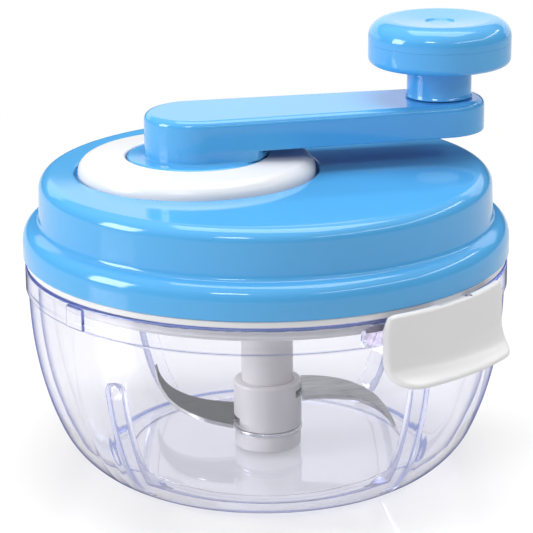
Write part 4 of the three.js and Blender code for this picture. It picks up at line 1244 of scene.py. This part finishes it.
# Name, place, aim, width and depth in metres, power in watts, seen through clear pieces
LAMPS = (
    ("overhead lamp", (0.05, 0.15, 1.1), MIDDLE, 0.9, 0.7, 8.0, True),
    ("front lamp", (-0.31, -0.95, 0.85), MIDDLE, 0.32, 0.12, 2.1, True),
    ("left lamp", (-1.0, -0.25, 0.42), MIDDLE, 0.4, 0.5, 7, True),
    ("right lamp", (0.77, -0.64, 0.7), MIDDLE, 1.0, 0.08, 1.6, True),
    ("back lamp", (0.97, 0.26, 0.7), MIDDLE, 1.0, 0.08, 1.6, True),
    ("sheen lamp", (0.01, 0.1, 0.135), (0.01, 0, 0.135), 0.34, 0.046, 0.05, False),
)
FLOOR_HALF_SIZE, SENSOR_WIDTH, AIM_X = 3, 36, 0.00007


def area_light(name, place, aim, width, depth, power, through):
    lamp = bpy.data.lights.new(name, "AREA")
    lamp.shape, lamp.size, lamp.size_y, lamp.energy = "RECTANGLE", width, depth, power
    obj = bpy.data.objects.new(name, lamp)
    obj.location = place
    obj.rotation_euler = (Vector(aim) - Vector(place)).to_track_quat("-Z", "Y").to_euler()
    obj.visible_camera, obj.visible_transmission = False, through
    bpy.context.scene.collection.objects.link(obj)


def white_world():
    """A world that is white for the camera and dimmer for the rays that light the pieces."""
    world = bpy.data.worlds.new("Studio")
    world.use_nodes = True
    world.node_tree.nodes.clear()
    n = Nodes(world.node_tree)
    ray = n.add("ShaderNodeLightPath").outputs
    seen = n.math("MAXIMUM", ray["Is Camera Ray"], ray["Is Transmission Ray"])
    rise = n.add("ShaderNodeSeparateXYZ", Vector=n.place("Generated")).outputs["Z"]
    lit = n.blend(ray["Is Glossy Ray"], 0.4, n.ramp("LINEAR", rise, 0.3, 0.8, 0.05, 0.7))
    n.output("World", Surface=n.shader("Background", Color=WHITE, Strength=n.blend(seen, lit, 1.0)))
    return world


def studio_camera(s):
    camera = bpy.data.cameras.new("camera")
    camera.sensor_width, camera.lens = SENSOR_WIDTH, s.lens
    camera.clip_start, camera.clip_end = 0.01, 20
    eye = bpy.data.objects.new("camera", camera)
    back = Vector((0, -math.cos(s.elevation), math.sin(s.elevation)))
    eye.location = Vector((AIM_X, 0, s.aim * MM)) + back * (s.distance * MM)
    eye.rotation_mode = "QUATERNION"
    look = (-back).to_track_quat("-Z", "Y")
    eye.rotation_quaternion = look @ Quaternion((0, 0, 1), s.roll)
    bpy.context.scene.collection.objects.link(eye)
    return eye


class CHOPPER_OT_studio(bpy.types.Operator):
    """Sets up the floor, the world, the lamps and the camera"""

    bl_idname = "chopper.studio"
    bl_label = "Studio"

    def execute(self, context):
        scene = context.scene
        bm = bmesh.new()
        bmesh.ops.create_grid(bm, x_segments=8, y_segments=8, size=FLOOR_HALF_SIZE)
        floor = link("floor", bm)
        floor.data.materials.append(studio_floor())
        scene.world = white_world()
        for lamp in LAMPS:
            area_light(*lamp)
        scene.camera = studio_camera(measures("studio"))
        scene.view_settings.view_transform = "Standard"
        return {"FINISHED"}


# Add-on


class CHOPPER_PT_pieces(bpy.types.Panel):
    """Lists the chopper's pieces"""

    bl_idname = "CHOPPER_PT_pieces"
    bl_label = "Food chopper"
    bl_space_type = "VIEW_3D"
    bl_region_type = "UI"
    bl_category = "Chopper"

    def draw(self, context):
        column = self.layout.column()
        for operator in OPERATORS:
            column.operator(operator.bl_idname)


SETTINGS = {
    "bowl": BowlSizes,
    "blade": BladeSizes,
    "lid": LidSizes,
    "crank": CrankSizes,
    "knob": KnobSizes,
    "latch": LatchSizes,
    "colours": FinishColours,
    "studio": StudioSizes,
}
OPERATORS = (
    CHOPPER_OT_bowl,
    CHOPPER_OT_blades,
    CHOPPER_OT_post,
    CHOPPER_OT_lid_plate,
    CHOPPER_OT_cover,
    CHOPPER_OT_ring,
    CHOPPER_OT_gears,
    CHOPPER_OT_crank,
    CHOPPER_OT_knob,
    CHOPPER_OT_latches,
    CHOPPER_OT_studio,
)


def register():
    for cls in (*SETTINGS.values(), *OPERATORS, CHOPPER_PT_pieces):
        bpy.utils.register_class(cls)
    for name, cls in SETTINGS.items():
        setattr(bpy.types.Scene, PREFIX + name, PointerProperty(type=cls))


def unregister():
    for name in SETTINGS:
        delattr(bpy.types.Scene, PREFIX + name)
    for cls in (CHOPPER_PT_pieces, *OPERATORS[::-1], *SETTINGS.values()):
        bpy.utils.unregister_class(cls)


def main():
    register()
    bpy.ops.chopper.bowl()
    bpy.ops.chopper.blades()
    bpy.ops.chopper.post()
    bpy.ops.chopper.lid_plate()
    bpy.ops.chopper.cover()
    bpy.ops.chopper.ring()
    bpy.ops.chopper.gears()
    bpy.ops.chopper.crank()
    bpy.ops.chopper.knob()
    bpy.ops.chopper.latches()
    bpy.ops.chopper.studio()


if __name__ == "__main__":
    main()
